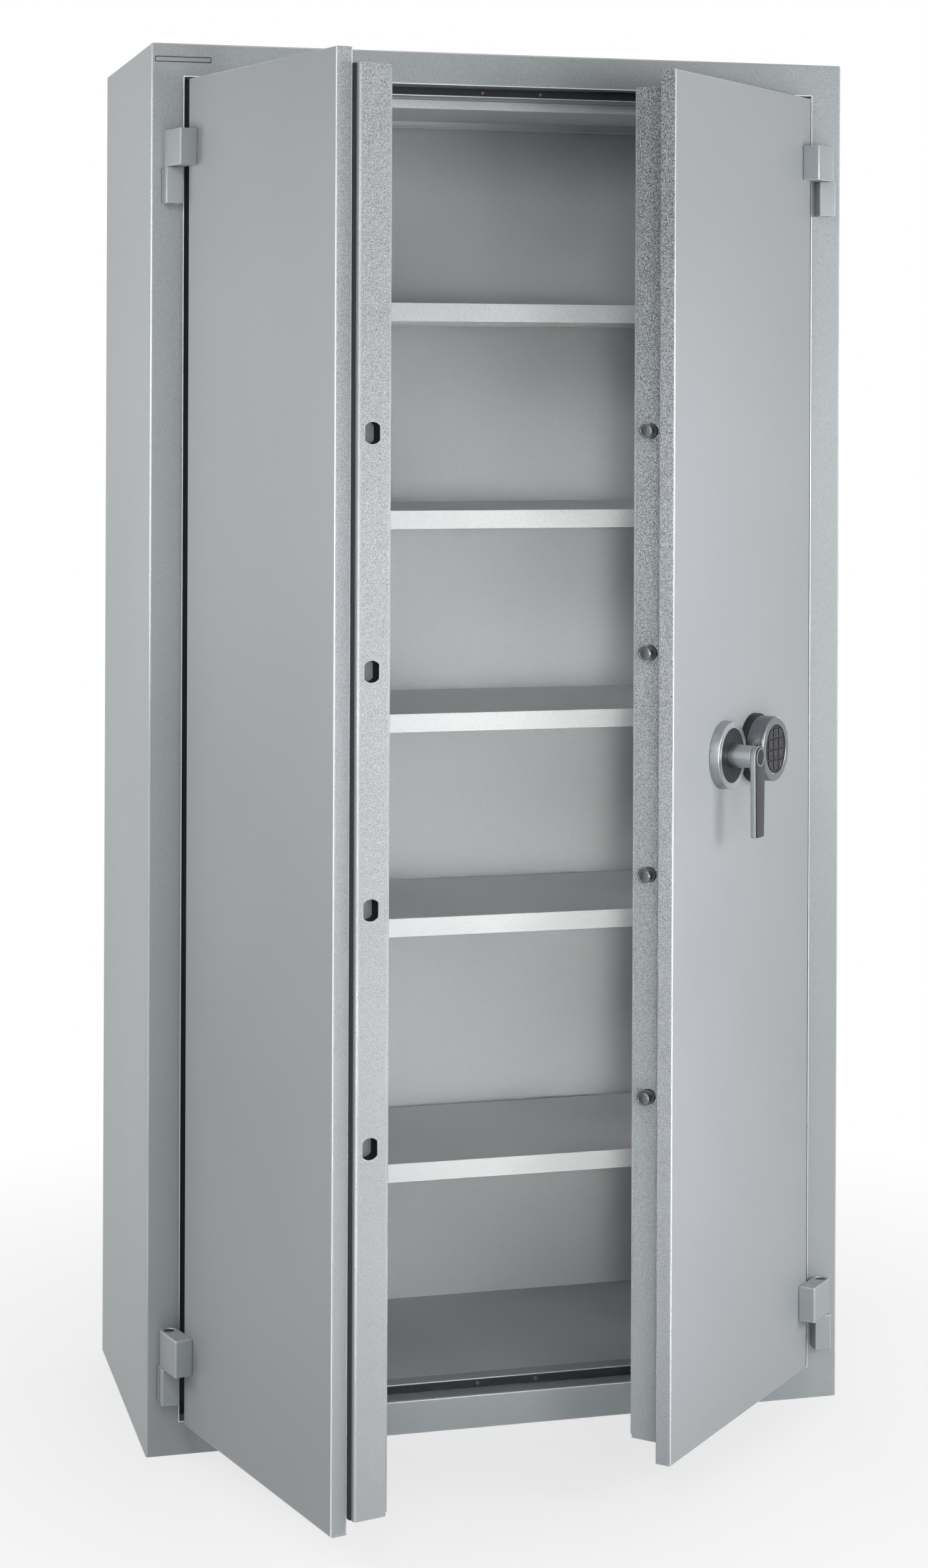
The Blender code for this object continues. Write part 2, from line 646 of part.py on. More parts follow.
def build_inner_box(side_name, side, pin, free_edge, front, edge_radius, hole):
    """The stepped rear half of a door: a sheet frame flanged in at its front and rear, with bolt holes.

    A ring of the sheet lies some way in from the outline, some way in on the free side, and at some depth.
    """
    inner_front = front + BOX_SHEET
    inner_rear = BOX_REAR_DEPTH - BOX_SHEET
    rings = [(0, inset, front + drop) for inset, drop in edge_rounding(edge_radius)]
    outer_wall = len(rings) - 1
    rings += [(0, 0, BOX_REAR_DEPTH), (BOX_FLANGE, BOX_FLANGE, BOX_REAR_DEPTH)]
    rings += [(BOX_FLANGE, BOX_FLANGE, inner_rear), (BOX_SHEET, BOX_SHEET, inner_rear)]
    inner_wall = len(rings) - 1
    for inset, drop in reversed(edge_rounding(max(edge_radius - BOX_SHEET, 0))):
        rings.append((BOX_SHEET, BOX_SHEET + inset, inner_front + drop))
    rings += [(BOX_FLANGE, BOX_FLANGE, inner_front), (BOX_FLANGE, BOX_FLANGE, front)]

    shape = bmesh.new()
    loops = []
    for inset, free_inset, depth in rings:
        hinge_x = side * (PIN_TO_EDGE + BOX_INSET + inset)
        free_x = side * (PIN_TO_EDGE + free_edge - free_inset)
        low, high = grown(BOX_Z, -inset)
        corners = ((hinge_x, low), (free_x, low), (free_x, high), (hinge_x, high))
        loops.append([shape.verts.new((x, PIN_FORWARD + depth, z)) for x, z in corners])

    pierced = []
    for index, (near, far) in enumerate(zip(loops, loops[1:] + loops[:1])):
        for i, ring_side in enumerate(RING_SIDES):
            corners = [near[i - 1], near[i], far[i], far[i - 1]]
            if ring_side == "free" and index in (outer_wall, inner_wall):
                pierced.append(corners)
            else:
                shape.faces.new(corners)

    rims = []
    for corners in pierced:
        x = corners[0].co.x
        rims.append([])
        for height in BOLT_HEIGHTS:
            rim = [shape.verts.new((x, PIN_FORWARD + BOLT_DEPTH + y, height + z)) for y, z in hole]
            rims[-1].append(rim)
        close_pierced_wall(shape, corners, rims[-1])
    for outer, inner in zip(*rims):
        for i in range(len(hole)):
            shape.faces.new((outer[i - 1], outer[i], inner[i], inner[i - 1]))
    bmesh.ops.recalc_face_normals(shape, faces=shape.faces)
    new_part(f"{side_name}_inner_box", as_mesh(shape), HAMMER_GREY, pin)


def build_core(side_name, side, pin, free_edge, front, edge_radius):
    """Insulation that fills panel and inner box and passes through the opening between them."""
    fit = PANEL_SHEET + SEAT_GAP
    panel_span = (fit, PANEL_WIDTH - fit)
    panel_depth = (fit, PANEL_DEPTH - fit)
    core = new_part(
        f"{side_name}_door_core",
        door_block(side, panel_span, panel_depth, grown(PANEL_Z, -fit)),
        MINERAL_BOARD,
        pin,
    )
    fit = BOX_SHEET + SEAT_GAP
    box_depth = (front + fit, BOX_REAR_DEPTH - fit)
    rear_span = (BOX_INSET + fit, free_edge - fit)
    rear = door_block(side, rear_span, box_depth, grown(BOX_Z, -fit), free_front_edge(side), edge_radius)
    neck_inset = max(PANEL_RETURN, BOX_INSET + BOX_FLANGE) + SEAT_GAP
    neck_free = min(PANEL_WIDTH - PANEL_RETURN, free_edge - BOX_FLANGE) - SEAT_GAP
    neck_depth = ((panel_depth[0] + panel_depth[1]) / 2, (box_depth[0] + box_depth[1]) / 2)
    neck = door_block(side, (neck_inset, neck_free), neck_depth, grown(PANEL_Z, -neck_inset))
    join(core, new_helper(neck, pin), new_helper(rear, pin))
    return core


def build_rear_cover(side_name, side, pin, free_edge):
    front = BOX_REAR_DEPTH + SEAT_GAP
    span = (BOX_INSET + COVER_INSET, free_edge - COVER_FREE_EDGE_INSET)
    cover = door_block(side, span, (front, front + COVER_SHEET), grown(BOX_Z, -COVER_INSET))
    new_part(f"{side_name}_rear_cover", cover, HAMMER_GREY, pin)


def build_left_door_seal(pin):
    """A black ring between the left panel and its inner box, showing on the step at the free edge."""
    front = PANEL_DEPTH + SEAT_GAP
    depth = (front, front + DOOR_SEAL_THICKNESS)
    free_edge = LEFT_BOX_EDGE - LEFT_BOX_EDGE_RADIUS
    span = (BOX_INSET + SEAT_GAP, free_edge - DOOR_SEAL_SETBACK)
    seal = new_part("left_door_seal", door_block(LEFT, span, depth, grown(BOX_Z, -SEAT_GAP)), SEAL_BLACK, pin)
    inner_span = (BOX_INSET + BOX_FLANGE, free_edge - PANEL_RETURN)
    inside = door_block(LEFT, inner_span, grown(depth, CUT_OVERRUN), grown(BOX_Z, -BOX_FLANGE))
    cut(seal, new_helper(inside, pin))


def keeper_outline():
    """A round hole with a flat on each side, as tall as its circle and as wide as the bolt needs."""
    radius = BOLT_DIAMETER / 2 + KEEPER_END_CLEARANCE
    half_width = BOLT_DIAMETER / 2 + KEEPER_SIDE_CLEARANCE
    flat = math.acos(half_width / radius)
    top = arc((0, 0), radius, flat, math.pi - flat, SMALL_STEPS // 2)
    bottom = arc((0, 0), radius, math.pi + flat, math.tau - flat, SMALL_STEPS // 2)
    return top + bottom


def build_left_door(pin):
    build_outer_panel("left", LEFT, pin)
    edge = (LEFT_BOX_EDGE, LEFT_BOX_FRONT, LEFT_BOX_EDGE_RADIUS)
    build_inner_box("left", LEFT, pin, *edge, keeper_outline())
    core = build_core("left", LEFT, pin, *edge)
    build_rear_cover("left", LEFT, pin, LEFT_BOX_EDGE)
    build_left_door_seal(pin)
    build_knuckles("left", LEFT, pin)
    half = BOLT_DIAMETER / 2 + KEEPER_END_CLEARANCE + SEAT_GAP
    pocket_span = (LEFT_BOX_EDGE - BOX_SHEET - BOLT_THROW, LEFT_BOX_EDGE + CUT_OVERRUN)
    for height in BOLT_HEIGHTS:
        pocket = door_block(
            LEFT, pocket_span, (BOLT_DEPTH - half, BOLT_DEPTH + half), (height - half, height + half)
        )
        cut(core, new_helper(pocket, pin))


# Handle, crank and boltwork


def build_rosette(axis):
    floor = RECESS_FLOOR
    recess = DISC_RADIUS + SEAT_GAP
    front = ROSETTE_RADIUS - ROSETTE_TAPER
    edge = [(front - ROSETTE_EDGE_RADIUS, ROSETTE_HEIGHT), (front, ROSETTE_HEIGHT - ROSETTE_EDGE_RADIUS)]
    profile = [(recess, ROSETTE_HEIGHT), *edge, (ROSETTE_RADIUS, SEAT_GAP)]
    profile += [(SHAFT_BORE, SEAT_GAP), (SHAFT_BORE, floor), (recess, floor)]
    new_part("handle_rosette", turned(profile, LARGE_STEPS, bored=True), SATIN_CHROME, axis)
    hole = NECK_DIAMETER / 2 + SHAFT_CLEARANCE
    disc = ring(hole, DISC_RADIUS, floor + SEAT_GAP, floor + SEAT_GAP + DISC_THICKNESS)
    new_part("rosette_disc", disc, DARK_TRIM, axis)


def build_lever(axis):
    boss = arc((0, 0), LEVER_WIDTH / 2, 0, math.pi, SMALL_STEPS // 2)
    end = [(-LEVER_END_WIDTH / 2, -LEVER_LENGTH), (LEVER_END_WIDTH / 2, -LEVER_LENGTH)]
    foot = round_corners([boss[-1], *end, boss[0]], LEVER_CORNER_RADIUS)
    corner_points = ARC_STEPS + 1
    outline = boss + foot[corner_points : 3 * corner_points]
    shape = plate([outline], LEVER_THICKNESS)
    lever = new_part("lever", shape, SATIN_CHROME, axis, (0, 0, LEVER_STANDOFF + LEVER_THICKNESS / 2))
    bevel = lever.modifiers.new("Edge", "BEVEL")
    bevel.width = LEVER_EDGE_RADIUS
    bevel.segments = 2
    bevel.limit_method = "ANGLE"
    bevel.angle_limit = math.radians(60)


def build_spindle(axis):
    """The round neck behind the lever and the shaft that goes on through the door to the crank."""
    foot = RECESS_FLOOR + SEAT_GAP
    neck_top = LEVER_STANDOFF - SEAT_GAP
    shaft = SHAFT_DIAMETER / 2
    end = -(CRANK_DEPTH + CRANK_THICKNESS)
    profile = [(0, neck_top), (LEVER_WIDTH / 2, neck_top), (NECK_DIAMETER / 2, foot)]
    profile += [(shaft, foot), (shaft, end), (0, end)]
    new_part("spindle", turned(profile, LARGE_STEPS), SATIN_CHROME, axis)


def build_crank(axis):
    """An arm on the shaft's end; its pin stands 45 degrees from upright, towards the free edge."""
    arm = CRANK_RADIUS + CRANK_WIDTH
    outline = [(x, y + CRANK_RADIUS / 2) for x, y in rectangle(CRANK_WIDTH, arm)]
    bore = circle(SHAFT_DIAMETER / 2 + SEAT_GAP, SMALL_STEPS)
    shape = plate([round_corners(outline, CRANK_CORNER_RADIUS), bore], CRANK_THICKNESS)
    middle = -(CRANK_DEPTH + CRANK_THICKNESS / 2)
    crank = new_part("crank", shape, ZINC, axis, (0, 0, middle), (0, 0, math.pi / 4))
    pin = rod(CRANK_PIN_DIAMETER / 2, -CRANK_PIN_REACH - middle, 0)
    join(crank, new_helper(pin, axis, crank_pin_place(middle)))


def crank_pin_place(height):
    offset = CRANK_RADIUS * math.sin(math.pi / 4)
    return (RIGHT * offset, offset, height)


def build_boltwork(pin):
    slide = new_axis("boltwork_slide", pin, (0, PIN_FORWARD + BOLT_DEPTH, 0))
    bar_depth = (-BAR_THICKNESS / 2 - PIN_FORWARD, BAR_THICKNESS / 2 - PIN_FORWARD)
    bar_shape = door_block(RIGHT, (BAR_REAR_EDGE, BAR_FRONT_EDGE), bar_depth, BAR_Z)
    bar = new_part("bolt_bar", bar_shape, ZINC, slide)

    crank_pin = CRANK_PIN_DIAMETER / 2 + SLOT_CLEARANCE
    reach = CRANK_RADIUS * math.sin(math.pi / 4)
    slot_lateral = HANDLE_LATERAL + reach
    slot = (slot_lateral - crank_pin, slot_lateral + crank_pin)
    slot_z = (LOCK_HEIGHT + reach - crank_pin, LOCK_HEIGHT + CRANK_RADIUS + crank_pin)
    arm_span = (slot[0] - SLOT_MARGIN, BAR_REAR_EDGE + BAR_WIDTH / 2)
    join(bar, new_helper(door_block(RIGHT, arm_span, bar_depth, grown(slot_z, SLOT_MARGIN)), slide))
    cut(bar, new_helper(door_block(RIGHT, slot, grown(bar_depth, CUT_OVERRUN), slot_z), slide))

    rear = BAR_FRONT_EDGE + SEAT_GAP
    length = RIGHT_BOX_EDGE + BOLT_THROW - rear
    for i, height in enumerate(BOLT_HEIGHTS):
        shape = rod(BOLT_DIAMETER / 2, 0, length, BOLT_CHAMFER)
        place = (RIGHT * (PIN_TO_EDGE + rear), 0, height)
        new_part(f"bolt_{i + 1}", shape, ZINC, slide, place, (0, RIGHT * math.pi / 2, 0))


# Keypad


def key_outline(centre, margin):
    """A key's rounded rectangle, grown by margin, with any corner past the pad's rim cut round."""
    half = [size / 2 + margin for size in KEY_SIZE]
    limit = KEY_CLIP_RADIUS + margin
    made = []
    for across, up in ((-1, -1), (1, -1), (1, 1), (-1, 1)):
        x = centre[0] + across * half[0]
        y = centre[1] + up * half[1]
        if math.hypot(x, y) <= limit:
            made.append((x, y))
            continue
        on_side = (x, up * math.sqrt(limit**2 - x**2))
        on_end = (across * math.sqrt(limit**2 - y**2), y)
        made += [on_side, on_end] if across * up > 0 else [on_end, on_side]
    return round_corners(made, KEY_CORNER_RADIUS)


def key_centres():
    """Key places from the top row down, left to right as the keypad is read."""
    for row in range(KEY_ROWS):
        for column in range(KEY_COLUMNS):
            x = (column - (KEY_COLUMNS - 1) / 2) * KEY_COLUMN_PITCH
            y = ((KEY_ROWS - 1) / 2 - row) * KEY_ROW_PITCH
            yield x, y


def build_keypad(axis):
    base = ring(CABLE_BORE / 2, KEYPAD_BASE_RADIUS, SEAT_GAP, KEYPAD_BASE_HEIGHT)
    new_part("keypad_base", base, DARK_TRIM, axis)

    rear = KEYPAD_BASE_HEIGHT + SEAT_GAP
    mouth = PAD_RADIUS + SEAT_GAP
    ledge = KEY_CLIP_RADIUS + KEY_CLEARANCE
    ledge_top = PAD_REAR - SEAT_GAP
    ledge_bottom = ledge_top - KEYPAD_WALL
    inside = KEYPAD_RADIUS - KEYPAD_WALL
    rounding = arc(
        (KEYPAD_RADIUS - KEYPAD_EDGE_RADIUS, KEYPAD_HEIGHT - KEYPAD_EDGE_RADIUS),
        KEYPAD_EDGE_RADIUS,
        math.pi / 2,
        0,
        ARC_STEPS,
    )
    profile = [(mouth, KEYPAD_HEIGHT), *rounding, (KEYPAD_RADIUS, rear), (inside, rear)]
    profile += [(inside, ledge_bottom), (ledge, ledge_bottom), (ledge, ledge_top), (mouth, ledge_top)]
    new_part("keypad_body", turned(profile, LARGE_STEPS, bored=True), SATIN_CHROME, axis)

    openings = [key_outline(centre, KEY_CLEARANCE) for centre in key_centres()]
    face = plate([circle(PAD_RADIUS, LARGE_STEPS), *openings], PAD_THICKNESS)
    new_part("keypad_face", face, DARK_TRIM, axis, (0, 0, PAD_REAR + PAD_THICKNESS / 2))

    thickness = PAD_THICKNESS + KEY_PROUD
    for i, centre in enumerate(key_centres()):
        outline = [(x - centre[0], y - centre[1]) for x, y in key_outline(centre, 0)]
        place = (*centre, PAD_REAR + thickness / 2)
        new_part(f"key_{i + 1}", plate([outline], thickness), KEY_GREY, axis, place)


def build_right_door(pin):
    panel = build_outer_panel("right", RIGHT, pin)
    edge = (RIGHT_BOX_EDGE, RIGHT_BOX_FRONT, RIGHT_BOX_EDGE_RADIUS)
    build_inner_box("right", RIGHT, pin, *edge, circle(BOLT_DIAMETER / 2 + BOLT_HOLE_CLEARANCE, SMALL_STEPS))
    core = build_core("right", RIGHT, pin, *edge)
    build_rear_cover("right", RIGHT, pin, RIGHT_BOX_EDGE)
    build_knuckles("right", RIGHT, pin)

    upright = (math.pi / 2, 0, 0)
    handle_place = (RIGHT * (PIN_TO_EDGE + HANDLE_LATERAL), PIN_FORWARD, LOCK_HEIGHT)
    keypad_place = (RIGHT * (PIN_TO_EDGE + KEYPAD_LATERAL), PIN_FORWARD, LOCK_HEIGHT)
    handle_axis = new_axis("handle_axis", pin, handle_place, upright)
    keypad_axis = new_axis("keypad_axis", pin, keypad_place, upright)
    build_rosette(handle_axis)
    build_lever(handle_axis)
    build_spindle(handle_axis)
    build_crank(handle_axis)
    build_keypad(keypad_axis)
    build_boltwork(pin)

    for radius, axis in ((SHAFT_BORE, handle_axis), (CABLE_BORE / 2, keypad_axis)):
        cut(panel, new_helper(rod(radius, -PANEL_SHEET - CUT_OVERRUN, CUT_OVERRUN), axis))

    case_front = PANEL_SHEET + SEAT_GAP
    case_span = (KEYPAD_LATERAL - LOCK_CASE_WIDTH / 2, KEYPAD_LATERAL + LOCK_CASE_WIDTH / 2)
    case_z = (LOCK_HEIGHT - LOCK_CASE_HEIGHT / 2, LOCK_HEIGHT + LOCK_CASE_HEIGHT / 2)
    case = door_block(RIGHT, case_span, (case_front, case_front + LOCK_CASE_DEPTH), case_z)
    new_part("lock_case", case, ZINC, pin)

    through = (-CUT_OVERRUN, BOX_REAR_DEPTH + CUT_OVERRUN)
    lock_room = (case_span[0] - POCKET_CLEARANCE, BAR_FRONT_EDGE)
    bar_room = (BAR_REAR_EDGE - BOLT_THROW - POCKET_CLEARANCE, RIGHT_BOX_EDGE + CUT_OVERRUN)
    bar_depth = (BOLT_DEPTH - BOLT_DIAMETER / 2 - POCKET_CLEARANCE, through[1])
    cut(
        core,
        new_helper(door_block(RIGHT, lock_room, through, grown(case_z, POCKET_CLEARANCE)), pin),
        new_helper(door_block(RIGHT, bar_room, bar_depth, grown(BAR_Z, POCKET_CLEARANCE)), pin),
    )


def build_cabinet():
    build_casing()
    build_insulation()
    build_liner()
    build_door_frame()
    build_frame_seal()
    build_shelves()
    build_ladder("left_shelf_ladder", -1)
    build_ladder("right_shelf_ladder", 1)
    build_hinge_blocks()
    pin_y = FRONT_Y - PIN_FORWARD
    left_pin = new_axis("left_hinge_axis", None, (-PIN_X, pin_y, 0), (0, 0, -LEFT_DOOR_ANGLE))
    right_pin = new_axis("right_hinge_axis", None, (PIN_X, pin_y, 0), (0, 0, RIGHT_DOOR_ANGLE))
    build_left_door(left_pin)
    build_right_door(right_pin)


build_cabinet()
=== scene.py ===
# %% [markdown]
# # A two-door fire safe, dressed for its portrait
#
# The cabinet is a heavy steel box that keeps what is inside safe from fire. Two thick doors stand open in
# front of it, and a turning handle and a keypad sit on the right one. Its solids are finished: they carry
# the sizes, the hinges and the boltwork. This lesson gives them their looks. We could draw every sheet
# again, but the sheets are right as they are, so they only get better paint. The small turned and moulded
# fittings are drawn again, with rounder curves.

# %% Load the finished solids
import json
import math

import bmesh
import bpy
from mathutils import Matrix, Vector

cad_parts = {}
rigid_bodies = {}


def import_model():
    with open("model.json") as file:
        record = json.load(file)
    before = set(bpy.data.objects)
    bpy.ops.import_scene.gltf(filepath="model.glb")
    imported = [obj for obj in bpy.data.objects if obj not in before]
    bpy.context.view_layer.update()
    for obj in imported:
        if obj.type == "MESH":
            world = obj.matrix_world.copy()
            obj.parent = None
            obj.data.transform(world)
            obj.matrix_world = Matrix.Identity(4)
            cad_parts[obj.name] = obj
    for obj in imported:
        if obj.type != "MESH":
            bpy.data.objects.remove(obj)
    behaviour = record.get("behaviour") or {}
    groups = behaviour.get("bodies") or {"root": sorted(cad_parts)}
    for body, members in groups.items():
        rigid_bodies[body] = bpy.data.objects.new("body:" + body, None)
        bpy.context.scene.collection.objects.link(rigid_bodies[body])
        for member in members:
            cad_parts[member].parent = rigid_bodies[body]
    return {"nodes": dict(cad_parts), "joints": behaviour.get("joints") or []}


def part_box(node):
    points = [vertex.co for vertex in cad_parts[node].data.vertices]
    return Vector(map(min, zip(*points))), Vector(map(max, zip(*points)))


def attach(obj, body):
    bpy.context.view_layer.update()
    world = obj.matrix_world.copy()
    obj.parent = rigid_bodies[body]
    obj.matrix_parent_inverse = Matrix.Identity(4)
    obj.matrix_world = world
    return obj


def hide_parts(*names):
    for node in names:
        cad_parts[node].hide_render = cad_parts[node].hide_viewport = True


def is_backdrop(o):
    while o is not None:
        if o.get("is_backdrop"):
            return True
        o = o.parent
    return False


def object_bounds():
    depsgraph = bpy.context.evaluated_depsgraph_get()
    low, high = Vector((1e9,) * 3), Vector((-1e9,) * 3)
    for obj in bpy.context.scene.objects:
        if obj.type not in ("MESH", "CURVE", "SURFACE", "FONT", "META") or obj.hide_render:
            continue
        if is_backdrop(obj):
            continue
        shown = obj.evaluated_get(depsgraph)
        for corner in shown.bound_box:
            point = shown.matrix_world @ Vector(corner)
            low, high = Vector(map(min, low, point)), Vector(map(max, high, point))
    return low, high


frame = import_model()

CAD_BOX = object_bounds()
NODES = frame["nodes"]
SCENE = bpy.context.scene
print("solids:", len(NODES), "box in metres:", [round(side, 4) for side in CAD_BOX[1] - CAD_BOX[0]])

# %% [markdown]
# ## The camera
#
# The portrait was taken with the camera level, so that the cabinet's uprights stay upright. A level camera
# at eye height would cut the foot off, and the photographer slid the lens down instead of tilting the
# camera. Blender's camera has the same movement, called shift. A tilted camera would be simpler, but its
# uprights would lean.

# %% A level camera with a lowered lens
CAMERA_PLACE = (-1.0881, -4.2565, 1.4754)
CAMERA_TURN = math.radians(-14.94)
CAMERA_ROLL = math.radians(-0.228)
CAMERA_LENS = 67.24
CAMERA_FILM = 36.0
CAMERA_SHIFT = (-0.0201, -0.2525)

camera = bpy.data.objects.new("portrait_camera", bpy.data.cameras.new("portrait_camera"))
camera.data.sensor_fit = "VERTICAL"
camera.data.sensor_height = CAMERA_FILM
camera.data.lens = CAMERA_LENS
camera.data.shift_x, camera.data.shift_y = CAMERA_SHIFT
camera.location = CAMERA_PLACE
camera.rotation_euler = (math.pi / 2, CAMERA_ROLL, CAMERA_TURN)
SCENE.collection.objects.link(camera)
SCENE.camera = camera
SCENE.view_settings.view_transform = "Standard"
print("camera stands", round(-camera.location.y + CAD_BOX[0].y, 2), "m in front of the open doors")

# %% [markdown]
# ## Wiring materials
#
# A material in Blender is a small network: boxes that make patterns, and wires that carry them to the
# shader. Writing every wire by hand is long and hides the idea. So one helper adds a box, sets the inputs
# that are plain numbers and wires those that come from another box. The others do what comes back in every
# finish: a sum, a change of range, noise, a colour that varies, a mix of two colours and a surface that
# rises.

# %% Boxes and wires
def feed(tree, socket, value):
    """Wires a socket to another node's output, or sets it to a plain value."""
    if isinstance(value, bpy.types.NodeSocket):
        tree.links.new(value, socket)
    else:
        socket.default_value = value


def add_box(tree, kind, settings=None, **inputs):
    """Adds one node with its settings, and feeds the inputs named, with _ for a space."""
    made = tree.nodes.new(kind)
    for name, value in (settings or {}).items():
        setattr(made, name, value)
    for name, value in inputs.items():
        feed(tree, made.inputs[name.replace("_", " ")], value)
    return made


def sum_box(tree, operation, first, second):
    """Adds a sum of two values."""
    made = add_box(tree, "ShaderNodeMath", {"operation": operation})
    feed(tree, made.inputs[0], first)
    feed(tree, made.inputs[1], second)
    return made.outputs[0]


print("helpers ready: feed, add_box, sum_box")

# %% Ranges, noise, colours and relief
NOISE_REACH = (0.3, 0.7)
NOISE_DETAIL = 3.0
MIX_COLOUR_INPUTS = (0, 6, 7)
MIX_COLOUR_OUTPUT = 2


def span(tree, value, low, high, to_low, to_high):
    """Carries a pattern from one range of numbers into another, and holds it there."""
    ranges = {"From_Min": low, "From_Max": high, "To_Min": to_low, "To_Max": to_high}
    return add_box(tree, "ShaderNodeMapRange", Value=value, **ranges).outputs[0]


def noise(tree, coords, scale, detail=NOISE_DETAIL):
    """Adds soft lumps, so many to a metre."""
    return add_box(tree, "ShaderNodeTexNoise", Vector=coords, Scale=scale, Detail=detail).outputs["Fac"]


def swing(tree, pattern, low, high):
    """Lets noise, which seldom leaves its reach, swing between two values."""
    return span(tree, pattern, *NOISE_REACH, low, high)


def near_one(tree, pattern, depth):
    """Lets noise swing about one."""
    return swing(tree, pattern, 1.0 - depth, 1.0 + depth)


def shaded(tree, colour, tone):
    """Makes a colour darker and lighter by a pattern."""
    scaled = {"operation": "SCALE"}
    return add_box(tree, "ShaderNodeVectorMath", scaled, Vector=colour, Scale=tone).outputs[0]


def tinted(tree, factor, first, second):
    """Adds a mix of two colours."""
    made = add_box(tree, "ShaderNodeMix", {"data_type": "RGBA"})
    for number, value in zip(MIX_COLOUR_INPUTS, (factor, first, second)):
        feed(tree, made.inputs[number], value)
    return made.outputs[MIX_COLOUR_OUTPUT]


def raise_surface(tree, shader, pattern, distance, rounded):
    """Gives a shader bumps, on top of a normal that is already rounded."""
    bump = add_box(tree, "ShaderNodeBump", Strength=1.0, Distance=distance, Height=pattern, Normal=rounded)
    feed(tree, shader.inputs["Normal"], bump.outputs[0])


print("helpers ready: span, noise, swing, near_one, shaded, tinted, raise_surface")

# %% [markdown]
# ## The white room
#
# The portrait stands on pure white. The floor is a pale disc that keeps the cabinet's shadow near its foot
# and fades into white further out, so that no horizon shows. The sky is white to the eye and in
# reflections, and gives only a soft, even light to the paint. Brightening the lamps until the floor burns
# out would be quicker, but it would burn out the paint as well.

# %% What sees the white
WHITE = (1.0, 1.0, 1.0, 1.0)


def emptied(owner):
    """The network of a material or a world, with nothing in it."""
    owner.use_nodes = True
    owner.node_tree.nodes.clear()
    return owner.node_tree


def rays_that_see_white(tree):
    """One for rays that show the surroundings: straight to the eye, mirrored or through glass."""
    path = tree.nodes.new("ShaderNodeLightPath").outputs
    seen = sum_box(tree, "MAXIMUM", path["Is Camera Ray"], path["Is Glossy Ray"])
    return sum_box(tree, "MAXIMUM", seen, path["Is Transmission Ray"])


def lead_out(tree, share, first, second, output):
    """Mixes two shaders and leads the mix to the network's output."""
    mix = add_box(tree, "ShaderNodeMixShader", Fac=share)
    feed(tree, mix.inputs[1], first.outputs[0])
    feed(tree, mix.inputs[2], second.outputs[0])
    feed(tree, tree.nodes.new(output).inputs["Surface"], mix.outputs[0])


print("white is", WHITE[:3], "to camera, mirror and glass rays")

# %% Floor
FLOOR_RADIUS = 9.0
FLOOR_STEPS = 96
FLOOR_DROP = 0.0006
FLOOR_PALE = (0.80, 0.80, 0.80, 1.0)
FLOOR_NEAR = 0.5
FLOOR_FAR = 1.5
FLOOR_GLOW_NEAR = 0.72
DUST_SCALE = 40.0
DUST_DEPTH = 0.06


def floor_finish():
    finish = bpy.data.materials.new("pale_floor")
    tree = emptied(finish)
    coords = tree.nodes.new("ShaderNodeTexCoord").outputs["Object"]
    distance = add_box(tree, "ShaderNodeVectorMath", {"operation": "LENGTH"}, Vector=coords).outputs["Value"]
    glow = span(tree, distance, FLOOR_NEAR, FLOOR_FAR, FLOOR_GLOW_NEAR, 1.0)
    dust = swing(tree, noise(tree, coords, DUST_SCALE), 0.0, DUST_DEPTH)
    matt = add_box(tree, "ShaderNodeBsdfDiffuse", Color=tinted(tree, dust, FLOOR_PALE, WHITE))
    lit = add_box(tree, "ShaderNodeEmission", Color=WHITE, Strength=1.0)
    share = sum_box(tree, "MULTIPLY", glow, rays_that_see_white(tree))
    lead_out(tree, share, matt, lit, "ShaderNodeOutputMaterial")
    return finish


def kept_mesh(name, shape):
    """Stores a drawn shape as a mesh."""
    mesh = bpy.data.meshes.new(name)
    shape.to_mesh(mesh)
    shape.free()
    return mesh


def build_floor():
    shape = bmesh.new()
    bmesh.ops.create_circle(shape, cap_ends=True, segments=FLOOR_STEPS, radius=FLOOR_RADIUS)
    mesh = kept_mesh("studio_floor", shape)
    mesh.materials.append(floor_finish())
    floor = bpy.data.objects.new("studio_floor", mesh)
    floor.location.z = CAD_BOX[0].z - FLOOR_DROP
    SCENE.collection.objects.link(floor)
    floor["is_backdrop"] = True


build_floor()
print("floor radius", FLOOR_RADIUS, "m, shadow kept within", FLOOR_FAR, "m")

# %% Sky
SKY_LIGHT = 0.12


def build_sky():
    SCENE.world = bpy.data.worlds.new("white_room")
    tree = emptied(SCENE.world)
    soft = add_box(tree, "ShaderNodeBackground", Color=WHITE, Strength=SKY_LIGHT)
    seen = add_box(tree, "ShaderNodeBackground", Color=WHITE, Strength=1.0)
    lead_out(tree, rays_that_see_white(tree), soft, seen, "ShaderNodeOutputWorld")


build_sky()
print("sky light", SKY_LIGHT)

# %% [markdown]
# ## The lamps
#
# In the portrait the paint is brightest at chest height and falls off softly towards the head and the foot,
# so the softboxes stand close, most of them at that height: three in front, one on the right and two on the
# left. A high one looks in between the doors, and a tall narrow one with a honeycomb grid lights the
# shelves without spilling on the doors. Two more stand behind, for the views from the back. A sun lamp
# would light every height the same, and its shadows would be hard. The lamps themselves stay out of the
# picture.

